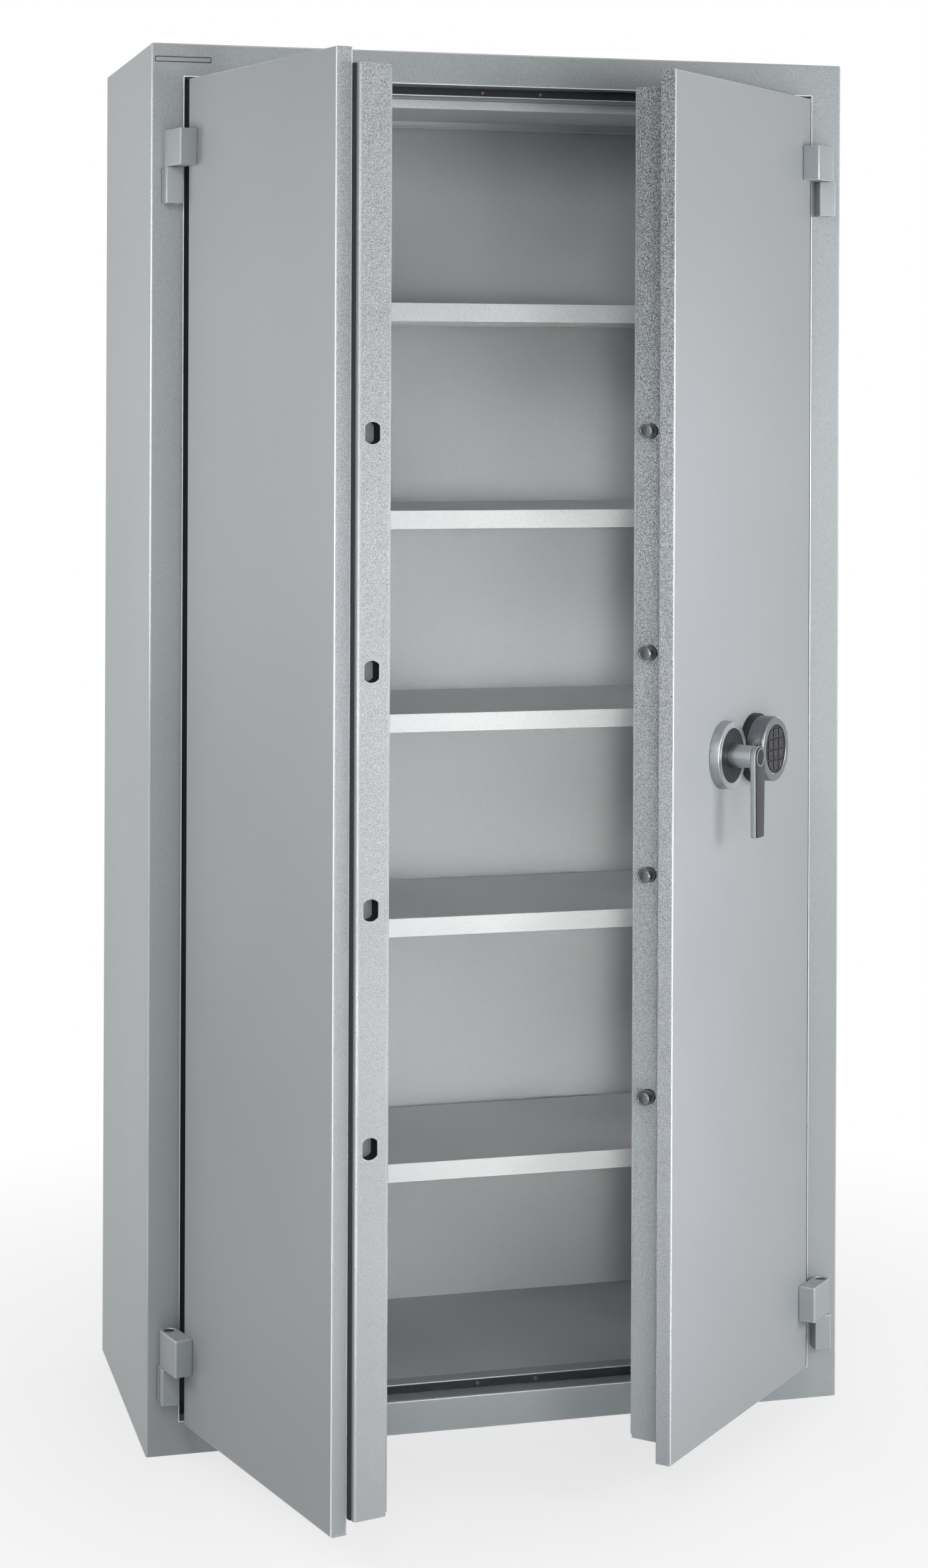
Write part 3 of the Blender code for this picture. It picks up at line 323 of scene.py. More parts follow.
# %% Softboxes
# Where each one stands, what it looks at, its width and height, its watts, and its beam if that is narrow.
LAMPS = {
    "right": ((2.3, -1.7, 1.4), (0.3, -0.4, 1.2), (0.9, 0.9), 25.5),
    "key": ((1.4, -3.1, 1.4), (0.1, -0.4, 1.2), (0.7, 0.7), 10.6),
    "front": ((0.1, -2.8, 1.4), (0.1, -0.3, 1.2), (0.9, 0.9), 10.0),
    "front_low": ((0.42, -2.6, 0.5), (0.0, -0.3, 0.6), (0.5, 0.5), 6.5),
    "left_high": ((-0.9, -2.4, 2.3), (0.1, -0.5, 1.4), (0.6, 0.6), 10.5),
    "left": ((-1.7, -0.9, 1.4), (-0.5, -0.4, 1.2), (0.7, 0.7), 4.5),
    "left_rear": ((-2.2, 0.3, 1.5), (-0.5, 0.0, 1.2), (0.9, 0.9), 12.2),
    "back": ((0.3, 3.2, 1.6), (0.0, 0.2, 1.0), (1.2, 1.2), 30.0),
    "back_right": ((2.4, 2.2, 1.6), (0.2, 0.1, 1.0), (1.2, 1.2), 25.0),
    "shelf": ((-0.6, -3.0, 0.8), (0.05, -0.2, 0.8), (0.3, 1.4), 1.2, 18.0),
}
OPEN_BEAM = 180.0


def add_softbox(name, place, aim, size, power, beam=OPEN_BEAM):
    lamp = bpy.data.lights.new(name, "AREA")
    lamp.shape = "RECTANGLE"
    lamp.size, lamp.size_y = size
    lamp.energy = power
    lamp.spread = math.radians(beam)
    item = bpy.data.objects.new(name, lamp)
    item.location = place
    item.rotation_euler = (Vector(aim) - Vector(place)).to_track_quat("-Z", "Y").to_euler()
    item.visible_camera = False
    SCENE.collection.objects.link(item)


for lamp_name, lamp_values in LAMPS.items():
    add_softbox(lamp_name + "_softbox", *lamp_values)
print("softboxes:", ", ".join(LAMPS))

# %% [markdown]
# ## Working on a door that stands open
#
# A fitting is easiest to draw as if its door were shut and we stood in front of it. The hinge joint says
# where the pin is and how far the door has swung, which is all it takes to carry a drawing from the shut
# door to the open one. A solid can be measured in the same frame, so the new fittings take their sizes from
# the solids that they dress.

# %% Frames on the doors, and a measure in any frame
JOINTS = {joint["name"]: joint for joint in frame["joints"]}
LOOK_OUT = Matrix.Rotation(math.pi / 2, 4, "X")


def shut_door_frame(joint_name):
    """Carries places on a shut door, measured from its pin, to the door as it stands open."""
    joint = JOINTS[joint_name]
    opening = math.radians(-joint["range_deg"][0])
    return Matrix.Translation(joint["pos_m"]) @ Matrix.Rotation(opening, 4, Vector(joint["axis"]))


def measured(node, place):
    """A solid's lowest and highest corner in a frame of its own."""
    inward = place.inverted()
    points = [inward @ vert.co for vert in NODES[node].data.vertices]
    low = Vector([min(point[axis] for point in points) for axis in range(3)])
    high = Vector([max(point[axis] for point in points) for axis in range(3)])
    return low, high


def centred_on(low, high):
    """A frame moved in X and Y to the middle of a box."""
    return Matrix.Translation(((low.x + high.x) / 2, (low.y + high.y) / 2, 0))


LEFT_DOOR = shut_door_frame("left_door_swing")
RIGHT_DOOR = shut_door_frame("right_door_swing")
HANDLE = Matrix.Translation(JOINTS["handle_turn"]["pos_m"]) @ (RIGHT_DOOR.to_3x3().to_4x4() @ LOOK_OUT)
KEYPAD = HANDLE @ centred_on(*measured("keypad_body", HANDLE))
print("keypad stands", round((KEYPAD.translation - HANDLE.translation).length, 4), "m from the handle")

# %% [markdown]
# ## Sheet-metal paint
#
# The casing, frame and inner boxes are sprayed in a silver-grey hammer finish: the wet paint draws together
# into pebbles a millimetre or two across. On the door fronts it was sprayed thin, and there the pebbles are
# so low that only a fine grain is left, but the doors' edges have them in full. The shelves are a light
# smooth grey, and the hinge leaves are smooth too. All are one recipe with other numbers: pebbles from
# noise raise the surface and tint it, a slow cloud keeps big sheets from looking printed, and folded edges
# are rounded. The pebbles' tint is painted light and shade. It is stronger on edges than on fronts, and it
# grows towards the top, where the pebbles also rise higher, standing in for a lamp that grazes them. Folds
# take a bright steel colour, a painted highlight that is patchy like wear. A door stands turned, so its
# paint gets the turn, and can tell the door's front from its edges. Modelling the pebbles as real bumps
# would take millions of faces for something a tenth of a millimetre high.

# %% The table of paints
HAMMER_GREY = (0.387, 0.416, 0.428)
DOOR_GREY = (0.392, 0.415, 0.435)
# Each paint's colour, pebbles to a metre, their height and the contrast of their tint, which is painted
# light and shade, on faces that look ahead, the same on edges, its roughness, how metallic it is, and the
# width of a rounded fold, which carries a painted highlight.
PAINTS = {
    "hammer_grey_paint": (HAMMER_GREY, 700.0, (0.0003, 0.08), (0.0003, 0.06), 0.40, 0.10, 0.0030),
    "frame_grey_paint": (HAMMER_GREY, 700.0, (0.0003, 0.08), (0.0003, 0.06), 0.40, 0.10, 0.0045),
    "box_grey_paint": ((0.395, 0.415, 0.425), 700.0, (0.0005, 0.10), (0.0010, 0.30), 0.40, 0.10, 0.0030),
    "bold_grey_paint": ((0.380, 0.405, 0.415), 620.0, (0.0005, 0.10), (0.0014, 0.48), 0.40, 0.10, 0.0024),
    "door_grey_paint": (DOOR_GREY, 620.0, (0.00008, 0.025), (0.0013, 0.44), 0.46, 0.08, 0.0022),
    "thin_grey_paint": (DOOR_GREY, 620.0, (0.00008, 0.025), (0.0007, 0.20), 0.46, 0.08, 0.0036),
    "smooth_grey_paint": (HAMMER_GREY, 620.0, (0.00008, 0.03), (0.00008, 0.03), 0.42, 0.10, 0.0036),
    "light_grey_paint": ((0.870, 0.875, 0.880), 650.0, (0.00012, 0.05), (0.00012, 0.02), 0.50, 0.0, 0.0012),
    "liner_grey_paint": ((0.600, 0.615, 0.625), 650.0, (0.00012, 0.03), (0.00012, 0.02), 0.50, 0.0, 0.0012),
}
TURNS = {"cabinet": 0.0, "left_door": LEFT_DOOR.to_euler().z, "right_door": RIGHT_DOOR.to_euler().z}
print("paints:", ", ".join(PAINTS), "on", ", ".join(TURNS))

# %% Folds, and faces that look ahead
ROUNDING_SAMPLES = 4
FLAT_TO_FOLD = (0.97, 0.82)


def new_finish(name):
    """A fresh material with its network, its shader and places on the solid."""
    finish = bpy.data.materials.new(name)
    finish.use_nodes = True
    tree = finish.node_tree
    coords = tree.nodes.new("ShaderNodeTexCoord").outputs["Object"]
    return finish, tree, tree.nodes["Principled BSDF"], coords


def rounded_normal(tree, radius):
    return add_box(tree, "ShaderNodeBevel", {"samples": ROUNDING_SAMPLES}, Radius=radius).outputs[0]


def folded_edges(tree, radius, turn):
    """The normal rounded over edges, one on edges and zero on flats, and how squarely a face looks ahead."""
    rounded = rounded_normal(tree, radius)
    to_solid = {"vector_type": "NORMAL", "convert_from": "WORLD", "convert_to": "OBJECT"}
    own = add_box(tree, "ShaderNodeVectorTransform", to_solid, Vector=rounded).outputs[0]
    about_z = {"rotation_type": "Z_AXIS"}
    shut = add_box(tree, "ShaderNodeVectorRotate", about_z, Vector=own, Angle=-turn).outputs[0]
    sizes = add_box(tree, "ShaderNodeVectorMath", {"operation": "ABSOLUTE"}, Vector=shut).outputs[0]
    parts = add_box(tree, "ShaderNodeSeparateXYZ", Vector=sizes).outputs
    largest = sum_box(tree, "MAXIMUM", parts["X"], sum_box(tree, "MAXIMUM", parts["Y"], parts["Z"]))
    return rounded, span(tree, largest, *FLAT_TO_FOLD, 0.0, 1.0), parts["Y"]


print("doors are turned by", {name: round(math.degrees(turn), 1) for name, turn in TURNS.items()}, "degrees")

# %% The paint recipe
PEBBLE_DETAIL = 1.0
PEBBLE_REACH = (0.32, 0.68)
EDGE_TO_AHEAD = (0.75, 0.95)
COARSER_AND_SHADED_HEIGHTS = (0.15, 1.85)
COARSER_AND_SHADED_SHARES = (0.25, 1.5)
CLOUD_SCALE = 2.3
CLOUD_DETAIL = 2.0
CLOUD_DEPTH = 0.04
FLECK_SCALE = 1500.0
FLECK_DETAIL = 0.0
FLECK_DEPTH = 0.05
WEAR_AND_HIGHLIGHT_CLOUDS = (0.35, 0.6)
WEAR_AND_HIGHLIGHT_SHARES = (0.5, 1.0)
DULLER_AND_SHINIER = (0.08, 0.06)
PAINT_SHEEN = 0.35
EDGE_HIGHLIGHT_STEEL = (0.86, 0.87, 0.88, 1.0)
EDGE_METAL = 0.40
EDGE_GLOSS = 0.28


def sheet_paint(name, turn, grey, pebbles, front, edge, gloss, metal, fold):
    """One paint of the table, for a body that stands turned."""
    finish, tree, shader, coords = new_finish(name)
    pebble = noise(tree, coords, pebbles, PEBBLE_DETAIL)
    fleck = noise(tree, coords, FLECK_SCALE, FLECK_DETAIL)
    cloud = noise(tree, coords, CLOUD_SCALE, CLOUD_DETAIL)
    rounded, fold_highlight, ahead = folded_edges(tree, fold, turn)
    height = add_box(tree, "ShaderNodeSeparateXYZ", Vector=coords).outputs["Z"]
    # Higher up the pebbles rise higher, and the painted light and shade of their tint gets stronger.
    coarser_and_shaded_higher = span(tree, height, *COARSER_AND_SHADED_HEIGHTS, *COARSER_AND_SHADED_SHARES)
    relief, pebble_shade_contrast = [
        sum_box(tree, "MULTIPLY", coarser_and_shaded_higher, span(tree, ahead, *EDGE_TO_AHEAD, *measures))
        for measures in zip(edge, front)
    ]

    # The pebbles' tint, lighter and darker with their height, is painted light and shade on the bumps.
    tone = sum_box(tree, "MULTIPLY", span(tree, pebble, *PEBBLE_REACH, -1.0, 1.0), pebble_shade_contrast)
    tone = sum_box(tree, "ADD", tone, near_one(tree, cloud, CLOUD_DEPTH))
    tone = sum_box(tree, "MULTIPLY", tone, near_one(tree, fleck, FLECK_DEPTH))
    # Folds turn to bright steel in colour: a painted highlight, made patchy like wear by the cloud.
    wear_and_highlight = sum_box(tree, "MULTIPLY", fold_highlight, span(tree, cloud, *WEAR_AND_HIGHLIGHT_CLOUDS, *WEAR_AND_HIGHLIGHT_SHARES))
    feed(tree, shader.inputs["Base Color"], tinted(tree, wear_and_highlight, shaded(tree, grey, tone), EDGE_HIGHLIGHT_STEEL))

    duller, shinier = DULLER_AND_SHINIER
    dull = swing(tree, pebble, gloss - shinier, gloss + duller)
    rubbed = sum_box(tree, "MULTIPLY", wear_and_highlight, gloss - EDGE_GLOSS)
    feed(tree, shader.inputs["Roughness"], sum_box(tree, "SUBTRACT", dull, rubbed))
    feed(tree, shader.inputs["Metallic"], span(tree, wear_and_highlight, 0.0, 1.0, metal, EDGE_METAL))
    feed(tree, shader.inputs["Specular IOR Level"], PAINT_SHEEN)
    raise_surface(tree, shader, sum_box(tree, "MULTIPLY", relief, pebble), 1.0, rounded)
    return finish


def painted(kind, body="cabinet"):
    """One kind of paint on one body, mixed the first time that it is asked for."""
    name = f"{body}_{kind}_look"
    return bpy.data.materials.get(name) or sheet_paint(name, TURNS[body], *PAINTS[kind])


print("pebbles are coarser from", COARSER_AND_SHADED_HEIGHTS[0], "to", COARSER_AND_SHADED_HEIGHTS[1], "m above the floor")

# %% [markdown]
# ## Metals, rubber and board
#
# The rosette, neck and lever are satin chrome, brushed round and then dulled. Bolts are bright zinc, hinge
# pins dark oiled steel. The seals are swelling rubber with a dusty bloom, and the filling of the walls is a
# pale mineral board. Each metal gets fine marks that change its gloss, since a perfectly even metal looks
# like plastic. Both recipes end alike: the colour varies, edges are painted lighter as a highlight, and the
# finer pattern is raised.

# %% Painted highlights on edges
EDGE_REACH = 0.0005
FLAT_TO_EDGE = (0.99, 0.78)


def edge_highlight_mask(tree):
    """The normal rounded over edges, and one on edges, from how far it leans from the true normal."""
    rounded = rounded_normal(tree, EDGE_REACH)
    lean = add_box(tree, "ShaderNodeVectorMath", {"operation": "DOT_PRODUCT"}, Vector=rounded)
    feed(tree, lean.inputs[1], tree.nodes.new("ShaderNodeNewGeometry").outputs["True Normal"])
    return rounded, span(tree, lean.outputs["Value"], *FLAT_TO_EDGE, 0.0, 1.0)


def finish_off(tree, shader, colour, patterns, depth, edge_highlight, relief):
    """Colour varied by two patterns, with a painted highlight on the edges, and the first pattern raised."""
    tone = sum_box(tree, "MULTIPLY", *[near_one(tree, pattern, depth) for pattern in patterns])
    rounded, edge = edge_highlight_mask(tree)
    # Edges get a lighter colour: a painted highlight.
    light = (*[min(edge_highlight * part, 1.0) for part in colour], 1.0)
    feed(tree, shader.inputs["Base Color"], tinted(tree, edge, shaded(tree, colour, tone), light))
    raise_surface(tree, shader, patterns[0], relief, rounded)


print("edges are lighter for", 1000 * EDGE_REACH, "mm")

# %% Metal, and what is matt
SMEAR_SCALE = 60.0
METAL_DEPTH = 0.05
STREAK_DULL = 0.05
SMEAR_DULL = (-0.03, 0.05)
PLAIN_EDGE_HIGHLIGHT = 1.25
BLOOM_SCALE = 25.0
BLOOM_DULL = 0.08
MATT_EDGE_HIGHLIGHT = 1.5
MATT_SHEEN = 0.20


def metal_finish(name, colour, rough, marks, relief, edge_highlight=PLAIN_EDGE_HIGHLIGHT, metal=1.0):
    """Metal with fine marks, so many to a metre along each axis, and their depth in metres."""
    finish, tree, shader, coords = new_finish(name)
    stretched = add_box(tree, "ShaderNodeMapping", Vector=coords, Scale=marks).outputs[0]
    streak = noise(tree, stretched, 1.0)
    smear = noise(tree, coords, SMEAR_SCALE)
    finish_off(tree, shader, colour, (streak, smear), METAL_DEPTH, edge_highlight, relief)
    dull = swing(tree, smear, *[rough + change for change in SMEAR_DULL])
    gloss = sum_box(tree, "ADD", swing(tree, streak, -STREAK_DULL, STREAK_DULL), dull)
    feed(tree, shader.inputs["Roughness"], gloss)
    feed(tree, shader.inputs["Metallic"], metal)
    return finish


def matt_finish(name, colour, rough, grain, relief, depth):
    """Rubber, board and moulded plastic: grain to a metre, its height, and how much the colour varies."""
    finish, tree, shader, coords = new_finish(name)
    speck = noise(tree, coords, grain)
    bloom = noise(tree, coords, BLOOM_SCALE)
    finish_off(tree, shader, colour, (speck, bloom), depth, MATT_EDGE_HIGHLIGHT, relief)
    feed(tree, shader.inputs["Roughness"], swing(tree, bloom, rough - BLOOM_DULL, rough + BLOOM_DULL))
    feed(tree, shader.inputs["Specular IOR Level"], MATT_SHEEN)
    return finish


EVEN = (900.0, 900.0, 900.0)
TURNED = (120.0, 120.0, 1500.0)
# Each metal's colour, roughness, marks and their depth, and for some how much lighter its edges are painted,
# as a highlight.
SATIN_CHROME = metal_finish("satin_chrome_look", (0.39, 0.41, 0.43), 0.33, EVEN, 0.000003)
KEYPAD_METAL = metal_finish("keypad_metal_look", (0.20, 0.21, 0.22), 0.30, EVEN, 0.000002, 1.5)
ZINC = metal_finish("zinc_plate_look", (0.22, 0.235, 0.245), 0.26, TURNED, 0.00001, 2.4)
PIN_STEEL = metal_finish("dark_pin_steel_look", (0.09, 0.09, 0.10), 0.35, EVEN, 0.00003, 2.5)
# The others' colour, roughness, grain and its height, and how much the colour varies.
SEAL_RUBBER = matt_finish("seal_black_look", (0.035, 0.036, 0.040), 0.62, 900.0, 0.00006, 0.18)
MINERAL_BOARD = matt_finish("mineral_board_look", (0.66, 0.63, 0.56), 0.90, 220.0, 0.0005, 0.07)
CHARCOAL_TRIM = matt_finish("dark_trim_look", (0.018, 0.0175, 0.021), 0.45, 2200.0, 0.000004, 0.08)
LEVER_PLATE_GREY = matt_finish("lever_plate_look", (0.055, 0.052, 0.058), 0.42, 2200.0, 0.000004, 0.06)
GROOVE_BLACK = matt_finish("groove_black_look", (0.012, 0.012, 0.013), 0.6, 1500.0, 0.00002, 0.10)
KEY_PLASTIC = matt_finish("key_grey_look", (0.016, 0.016, 0.020), 0.42, 2500.0, 0.000004, 0.10)
KEY_PRINT = matt_finish("key_print_look", (0.19, 0.20, 0.22), 0.50, 2500.0, 0.000004, 0.05)
MARK_WHITE = matt_finish("mark_white_look", (0.86, 0.87, 0.88), 0.50, 2500.0, 0.00001, 0.03)
print("finishes now:", len(bpy.data.materials))

# %% [markdown]
# ## Painting the solids
#
# Every solid came with a plain material named for its slot. Swapping the material in its slot keeps the
# solid as it is and changes only its looks, so a table from the plain name to the finished look is all that
# is needed. Five solids have a spray of their own: the doors' inner boxes, where the pebbles and their
# painted shade are boldest, the left door's panel, whose edges were sprayed thin, the frame behind the
# doors, whose folds carry a wider painted highlight, and the duller liner.

# %% Swap each plain material for its finished look
LOOKS = {
    "mineral_board": MINERAL_BOARD,
    "seal_black": SEAL_RUBBER,
    "dark_pin_steel": PIN_STEEL,
    "zinc_plate": ZINC,
    "satin_chrome": SATIN_CHROME,
    "dark_trim": CHARCOAL_TRIM,
    "key_grey": KEY_PLASTIC,
}
OWN_PAINTS = {
    "left_outer_panel": "thin_grey_paint",
    "left_inner_box": "box_grey_paint",
    "right_inner_box": "bold_grey_paint",
    "door_frame": "frame_grey_paint",
    "inner_liner": "liner_grey_paint",
}
for node_name, solid in NODES.items():
    carried_by = solid.parent.name.split(":")[1]
    for place_in_list, plain in enumerate(solid.data.materials):
        kind_of_finish = plain.name.split(".")[0]
        if kind_of_finish in PAINTS:
            look = painted(OWN_PAINTS.get(node_name, kind_of_finish), carried_by)
        else:
            look = LOOKS[kind_of_finish]
        solid.data.materials[place_in_list] = look
print("dressed", len(NODES), "solids, finishes now:", len(bpy.data.materials))

# %% [markdown]
# ## A bench for fittings
#
# Turned pieces come from half a profile spun about an axis, as on a lathe. Flat pieces with holes come from
# a filled 2D curve with some thickness and a rounded rim, as if punched from plate and tumbled. Every piece
# then goes through one function that hangs it on the body it moves with and hides the solids it stands in
# for. Primitive cylinders and boxes would be quicker, but their dead sharp edges catch no light.

# %% Outlines
CORNER_STEPS = 5
CORNER_SHARE = 0.49


def rounded_corners(points, closed=True):
    """Replaces each corner (x, y, radius) by a short curve. A corner with no radius stays sharp."""
    made = []
    for i, (x, y, radius) in enumerate(points):
        end = not closed and i in (0, len(points) - 1)
        if not radius or end:
            made.append((x, y))
            continue
        corner = Vector((x, y))
        before = Vector(points[i - 1][:2]) - corner
        after = Vector(points[(i + 1) % len(points)][:2]) - corner
        cut = radius / math.tan(before.angle(after) / 2)
        start = corner + before.normalized() * min(cut, CORNER_SHARE * before.length)
        finish = corner + after.normalized() * min(cut, CORNER_SHARE * after.length)
        for step in range(CORNER_STEPS + 1):
            share = step / CORNER_STEPS
            point = (1 - share) ** 2 * start + 2 * share * (1 - share) * corner + share**2 * finish
            made.append(tuple(point))
    return made


def rectangle(left, right, low, high, corner=0):
    """Four corners, rounded where a radius is given."""
    corners = ((left, low), (right, low), (right, high), (left, high))
    return rounded_corners([(x, y, corner) for x, y in corners])


def arc(radius, start, finish, steps):
    """Points on an arc about zero, both ends included."""
    angles = [start + (finish - start) * step / steps for step in range(steps + 1)]
    return [(radius * math.cos(angle), radius * math.sin(angle)) for angle in angles]


print("outlines ready: a rounded corner has", CORNER_STEPS, "sides")

# %% Lathe and punch
LATHE_STEPS = 96
RIM_STEPS = 3
WELD = 1e-6


def welded(shape):
    bmesh.ops.remove_doubles(shape, verts=shape.verts, dist=WELD)
    bmesh.ops.dissolve_degenerate(shape, edges=shape.edges, dist=WELD)
    bmesh.ops.recalc_face_normals(shape, faces=shape.faces)
    return shape


def lathe(profile, ring=True, steps=LATHE_STEPS):
    """Spins (radius, height, rounding) corners about Z. A ring's profile closes on itself."""
    shape = bmesh.new()
    verts = [shape.verts.new((radius, 0, height)) for radius, height in rounded_corners(profile, ring)]
    pairs = list(zip(verts, verts[1:]))
    if ring:
        pairs.append((verts[-1], verts[0]))
    drawn = verts + [shape.edges.new(pair) for pair in pairs]
    axis = {"cent": (0, 0, 0), "axis": (0, 0, 1)}
    bmesh.ops.spin(shape, geom=drawn, angle=math.tau, steps=steps, use_merge=True, **axis)
    return welded(shape)


def baked(item):
    """The finished mesh of a helper object as an editable shape, with the helper removed."""
    SCENE.collection.objects.link(item)
    bpy.context.view_layer.update()
    mesh = bpy.data.meshes.new_from_object(item.evaluated_get(bpy.context.evaluated_depsgraph_get()))
    bpy.data.objects.remove(item, do_unlink=True)
    shape = bmesh.new()
    shape.from_mesh(mesh)
    bpy.data.meshes.remove(mesh)
    return welded(shape)


def punch(outlines, low, high, rim):
    """Plate between two heights, from an outer outline and any holes, with its rims rounded."""
    curve = bpy.data.curves.new("outline", "CURVE")
    curve.dimensions = "2D"
    curve.fill_mode = "BOTH"
    curve.extrude = (high - low) / 2 - rim
    curve.bevel_depth = rim
    curve.bevel_resolution = RIM_STEPS
    curve.offset = -rim
    for outline in outlines:
        spline = curve.splines.new("POLY")
        spline.points.add(len(outline) - 1)
        for point, (x, y) in zip(spline.points, outline):
            point.co = (x, y, 0, 1)
        spline.use_cyclic_u = True
    shape = baked(bpy.data.objects.new("outline", curve))
    bmesh.ops.translate(shape, vec=(0, 0, (low + high) / 2), verts=shape.verts)
    return shape


print("lathe steps", LATHE_STEPS, "and rim steps", RIM_STEPS)

# %% Fitting a piece to its body
SMOOTH_ANGLE = math.radians(38)


def fit(name, shape, finish, body, place, stands_for=()):
    """Puts a finished shape on the body that carries it."""
    mesh = kept_mesh(name, shape)
    mesh.materials.append(finish)
    mesh.shade_smooth()
    mesh.set_sharp_from_angle(angle=SMOOTH_ANGLE)
    item = bpy.data.objects.new(name, mesh)
    SCENE.collection.objects.link(item)
    item.matrix_world = place
    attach(item, body)
    if stands_for:
        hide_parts(*stands_for)


print("edges flatter than", round(math.degrees(SMOOTH_ANGLE)), "degrees are shaded smooth")

# %% [markdown]
# ## The rosette and its disc
#
# Behind the handle sits a round rosette: a tapered metal rim with a charcoal disc let into it, so that the
# handle can turn without marking the door. A white stroke on the rim shows where the handle points when it
# is locked. The rim is one lathe profile with a thin raised bead where it meets the disc, because that bead
# catches a bright ring.

# %% Rosette
rosette_low, rosette_high = measured("handle_rosette", HANDLE)
disc_low, disc_high = measured("rosette_disc", HANDLE)
neck_low, neck_high = measured("spindle", HANDLE)
HAIR_ROUND = 0.0001
FINE_ROUND = 0.0002
THIN_ROUND = 0.00025
SMALL_ROUND = 0.0003
SOFT_ROUND = 0.0004
FULL_ROUND = 0.0012
FITTING_GAP = 0.0003
ROSETTE_RADIUS = rosette_high.x
ROSETTE_TAPER = 0.0015
DISC_RADIUS = disc_high.x
NECK_RADIUS = neck_high.x
SHAFT_RADIUS = 0.0065
BEAD_WIDTH = 0.0011
BEAD_HEIGHT = 0.0004
MARK_HALF = 0.0006
MARK_GAP = 0.0002
MARK_RISE = 0.00025


def build_rosette():
    top = rosette_high.z - BEAD_HEIGHT
    recess = DISC_RADIUS + FITTING_GAP
    floor = disc_low.z - FITTING_GAP
    bead = recess + BEAD_WIDTH
    brim = ROSETTE_RADIUS - ROSETTE_TAPER
    profile = [
        (SHAFT_RADIUS, rosette_low.z, 0),
        (ROSETTE_RADIUS, rosette_low.z, SOFT_ROUND),
        (brim, top, FULL_ROUND),
        (bead, top, HAIR_ROUND),
        (bead, rosette_high.z, SMALL_ROUND),
        (recess, rosette_high.z, SMALL_ROUND),
        (recess, floor, 0),
        (SHAFT_RADIUS, floor, 0),
    ]
    fit("rosette_rim", lathe(profile), SATIN_CHROME, "right_door", HANDLE, ["handle_rosette"])
    hole = NECK_RADIUS + FITTING_GAP
    disc = [
        (hole, disc_low.z, 0),
        (DISC_RADIUS, disc_low.z, 0),
        (DISC_RADIUS, disc_high.z, SOFT_ROUND),
        (hole, disc_high.z, SMALL_ROUND),
    ]
    turned = lathe(disc)
    fit("rosette_charcoal_disc", turned, CHARCOAL_TRIM, "right_door", HANDLE, ["rosette_disc"])
    mark = rectangle(-MARK_HALF, MARK_HALF, bead + MARK_GAP, brim - FULL_ROUND)
    shape = punch([mark], top, top + MARK_RISE, HAIR_ROUND)
    fit("rosette_index_mark", shape, MARK_WHITE, "right_door", HANDLE)


build_rosette()
print("rosette", round(2000 * ROSETTE_RADIUS, 1), "mm across, disc", round(2000 * DISC_RADIUS, 1), "mm")

# %% [markdown]
# ## The lever
#
# The lever is a flat bar with a round boss, cast and satin plated. A charcoal plate is let into its front,
# with a thin dark groove round it, and a separate dark cap with a bright ring hides the screw in the boss.
# Three punched plates on top of each other, with a turned ring and cap, give the same steps that the light
# draws on the real one. The neck behind it is turned.

# %% Lever
lever_low, lever_high = measured("lever", HANDLE)
LEVER_HALF = lever_high.x
LEVER_END_HALF = 0.01225
LEVER_CORNER = 0.0025
LEVER_ROUND = 0.0008
LEVER_BODY_SHARE = 0.80
BOSS_STEPS = 36
GROOVE_WIDTH = 0.0008
GROOVE_HEIGHT = 0.0010
PLATE_INSET = 0.0003
CAP_RADIUS = 0.0112
CAP_RING = 0.0012
CAP_GAP = 0.0002
CAP_SUNK = 0.0001
CAP_SEAT = 0.0006
RING_PROUD = 0.0003


def lever_outline(inset):
    """A round boss at the top and a slightly tapered bar below it, drawn in by inset."""
    boss = [(x, y, 0) for x, y in arc(LEVER_HALF - inset, 0, math.pi, BOSS_STEPS)]
    end = LEVER_END_HALF - inset
    foot = lever_low.y + inset
    return rounded_corners(boss + [(-end, foot, LEVER_CORNER - inset), (end, foot, LEVER_CORNER - inset)])


def build_lever():
    body_top = lever_low.z + LEVER_BODY_SHARE * (lever_high.z - lever_low.z)
    body = punch([lever_outline(0)], lever_low.z, body_top, LEVER_ROUND)
    fit("lever_bar", body, SATIN_CHROME, "handle", HANDLE, ["lever"])
    groove_top = body_top + GROOVE_HEIGHT
    groove = punch([lever_outline(GROOVE_WIDTH)], body_top - GROOVE_HEIGHT, groove_top, HAIR_ROUND)
    fit("lever_groove", groove, GROOVE_BLACK, "handle", HANDLE)
    plate_top = lever_high.z - RING_PROUD
    plate = punch([lever_outline(PLATE_INSET)], groove_top, plate_top, SOFT_ROUND)
    fit("lever_front_plate", plate, LEVER_PLATE_GREY, "handle", HANDLE)
    seat = plate_top - CAP_SEAT
    ring_profile = [
        (CAP_RADIUS, seat, 0),
        (CAP_RADIUS + CAP_RING, seat, 0),
        (CAP_RADIUS + CAP_RING, lever_high.z, THIN_ROUND),
        (CAP_RADIUS, lever_high.z, THIN_ROUND),
    ]
    fit("lever_cap_ring", lathe(ring_profile), SATIN_CHROME, "handle", HANDLE)
    cap_radius = CAP_RADIUS - CAP_GAP
    cap_top = lever_high.z - CAP_SUNK
    cap = [(0, cap_top, 0), (cap_radius, cap_top, FINE_ROUND), (cap_radius, seat, 0), (0, seat, 0)]
    fit("lever_cap", lathe(cap, ring=False), CHARCOAL_TRIM, "handle", HANDLE)


build_lever()
print("lever", round(1000 * (lever_high.y - lever_low.y), 1), "mm long")

# %% Neck
SHAFT_PLAY = 0.0005
SHAFT_ROUND = 0.0005


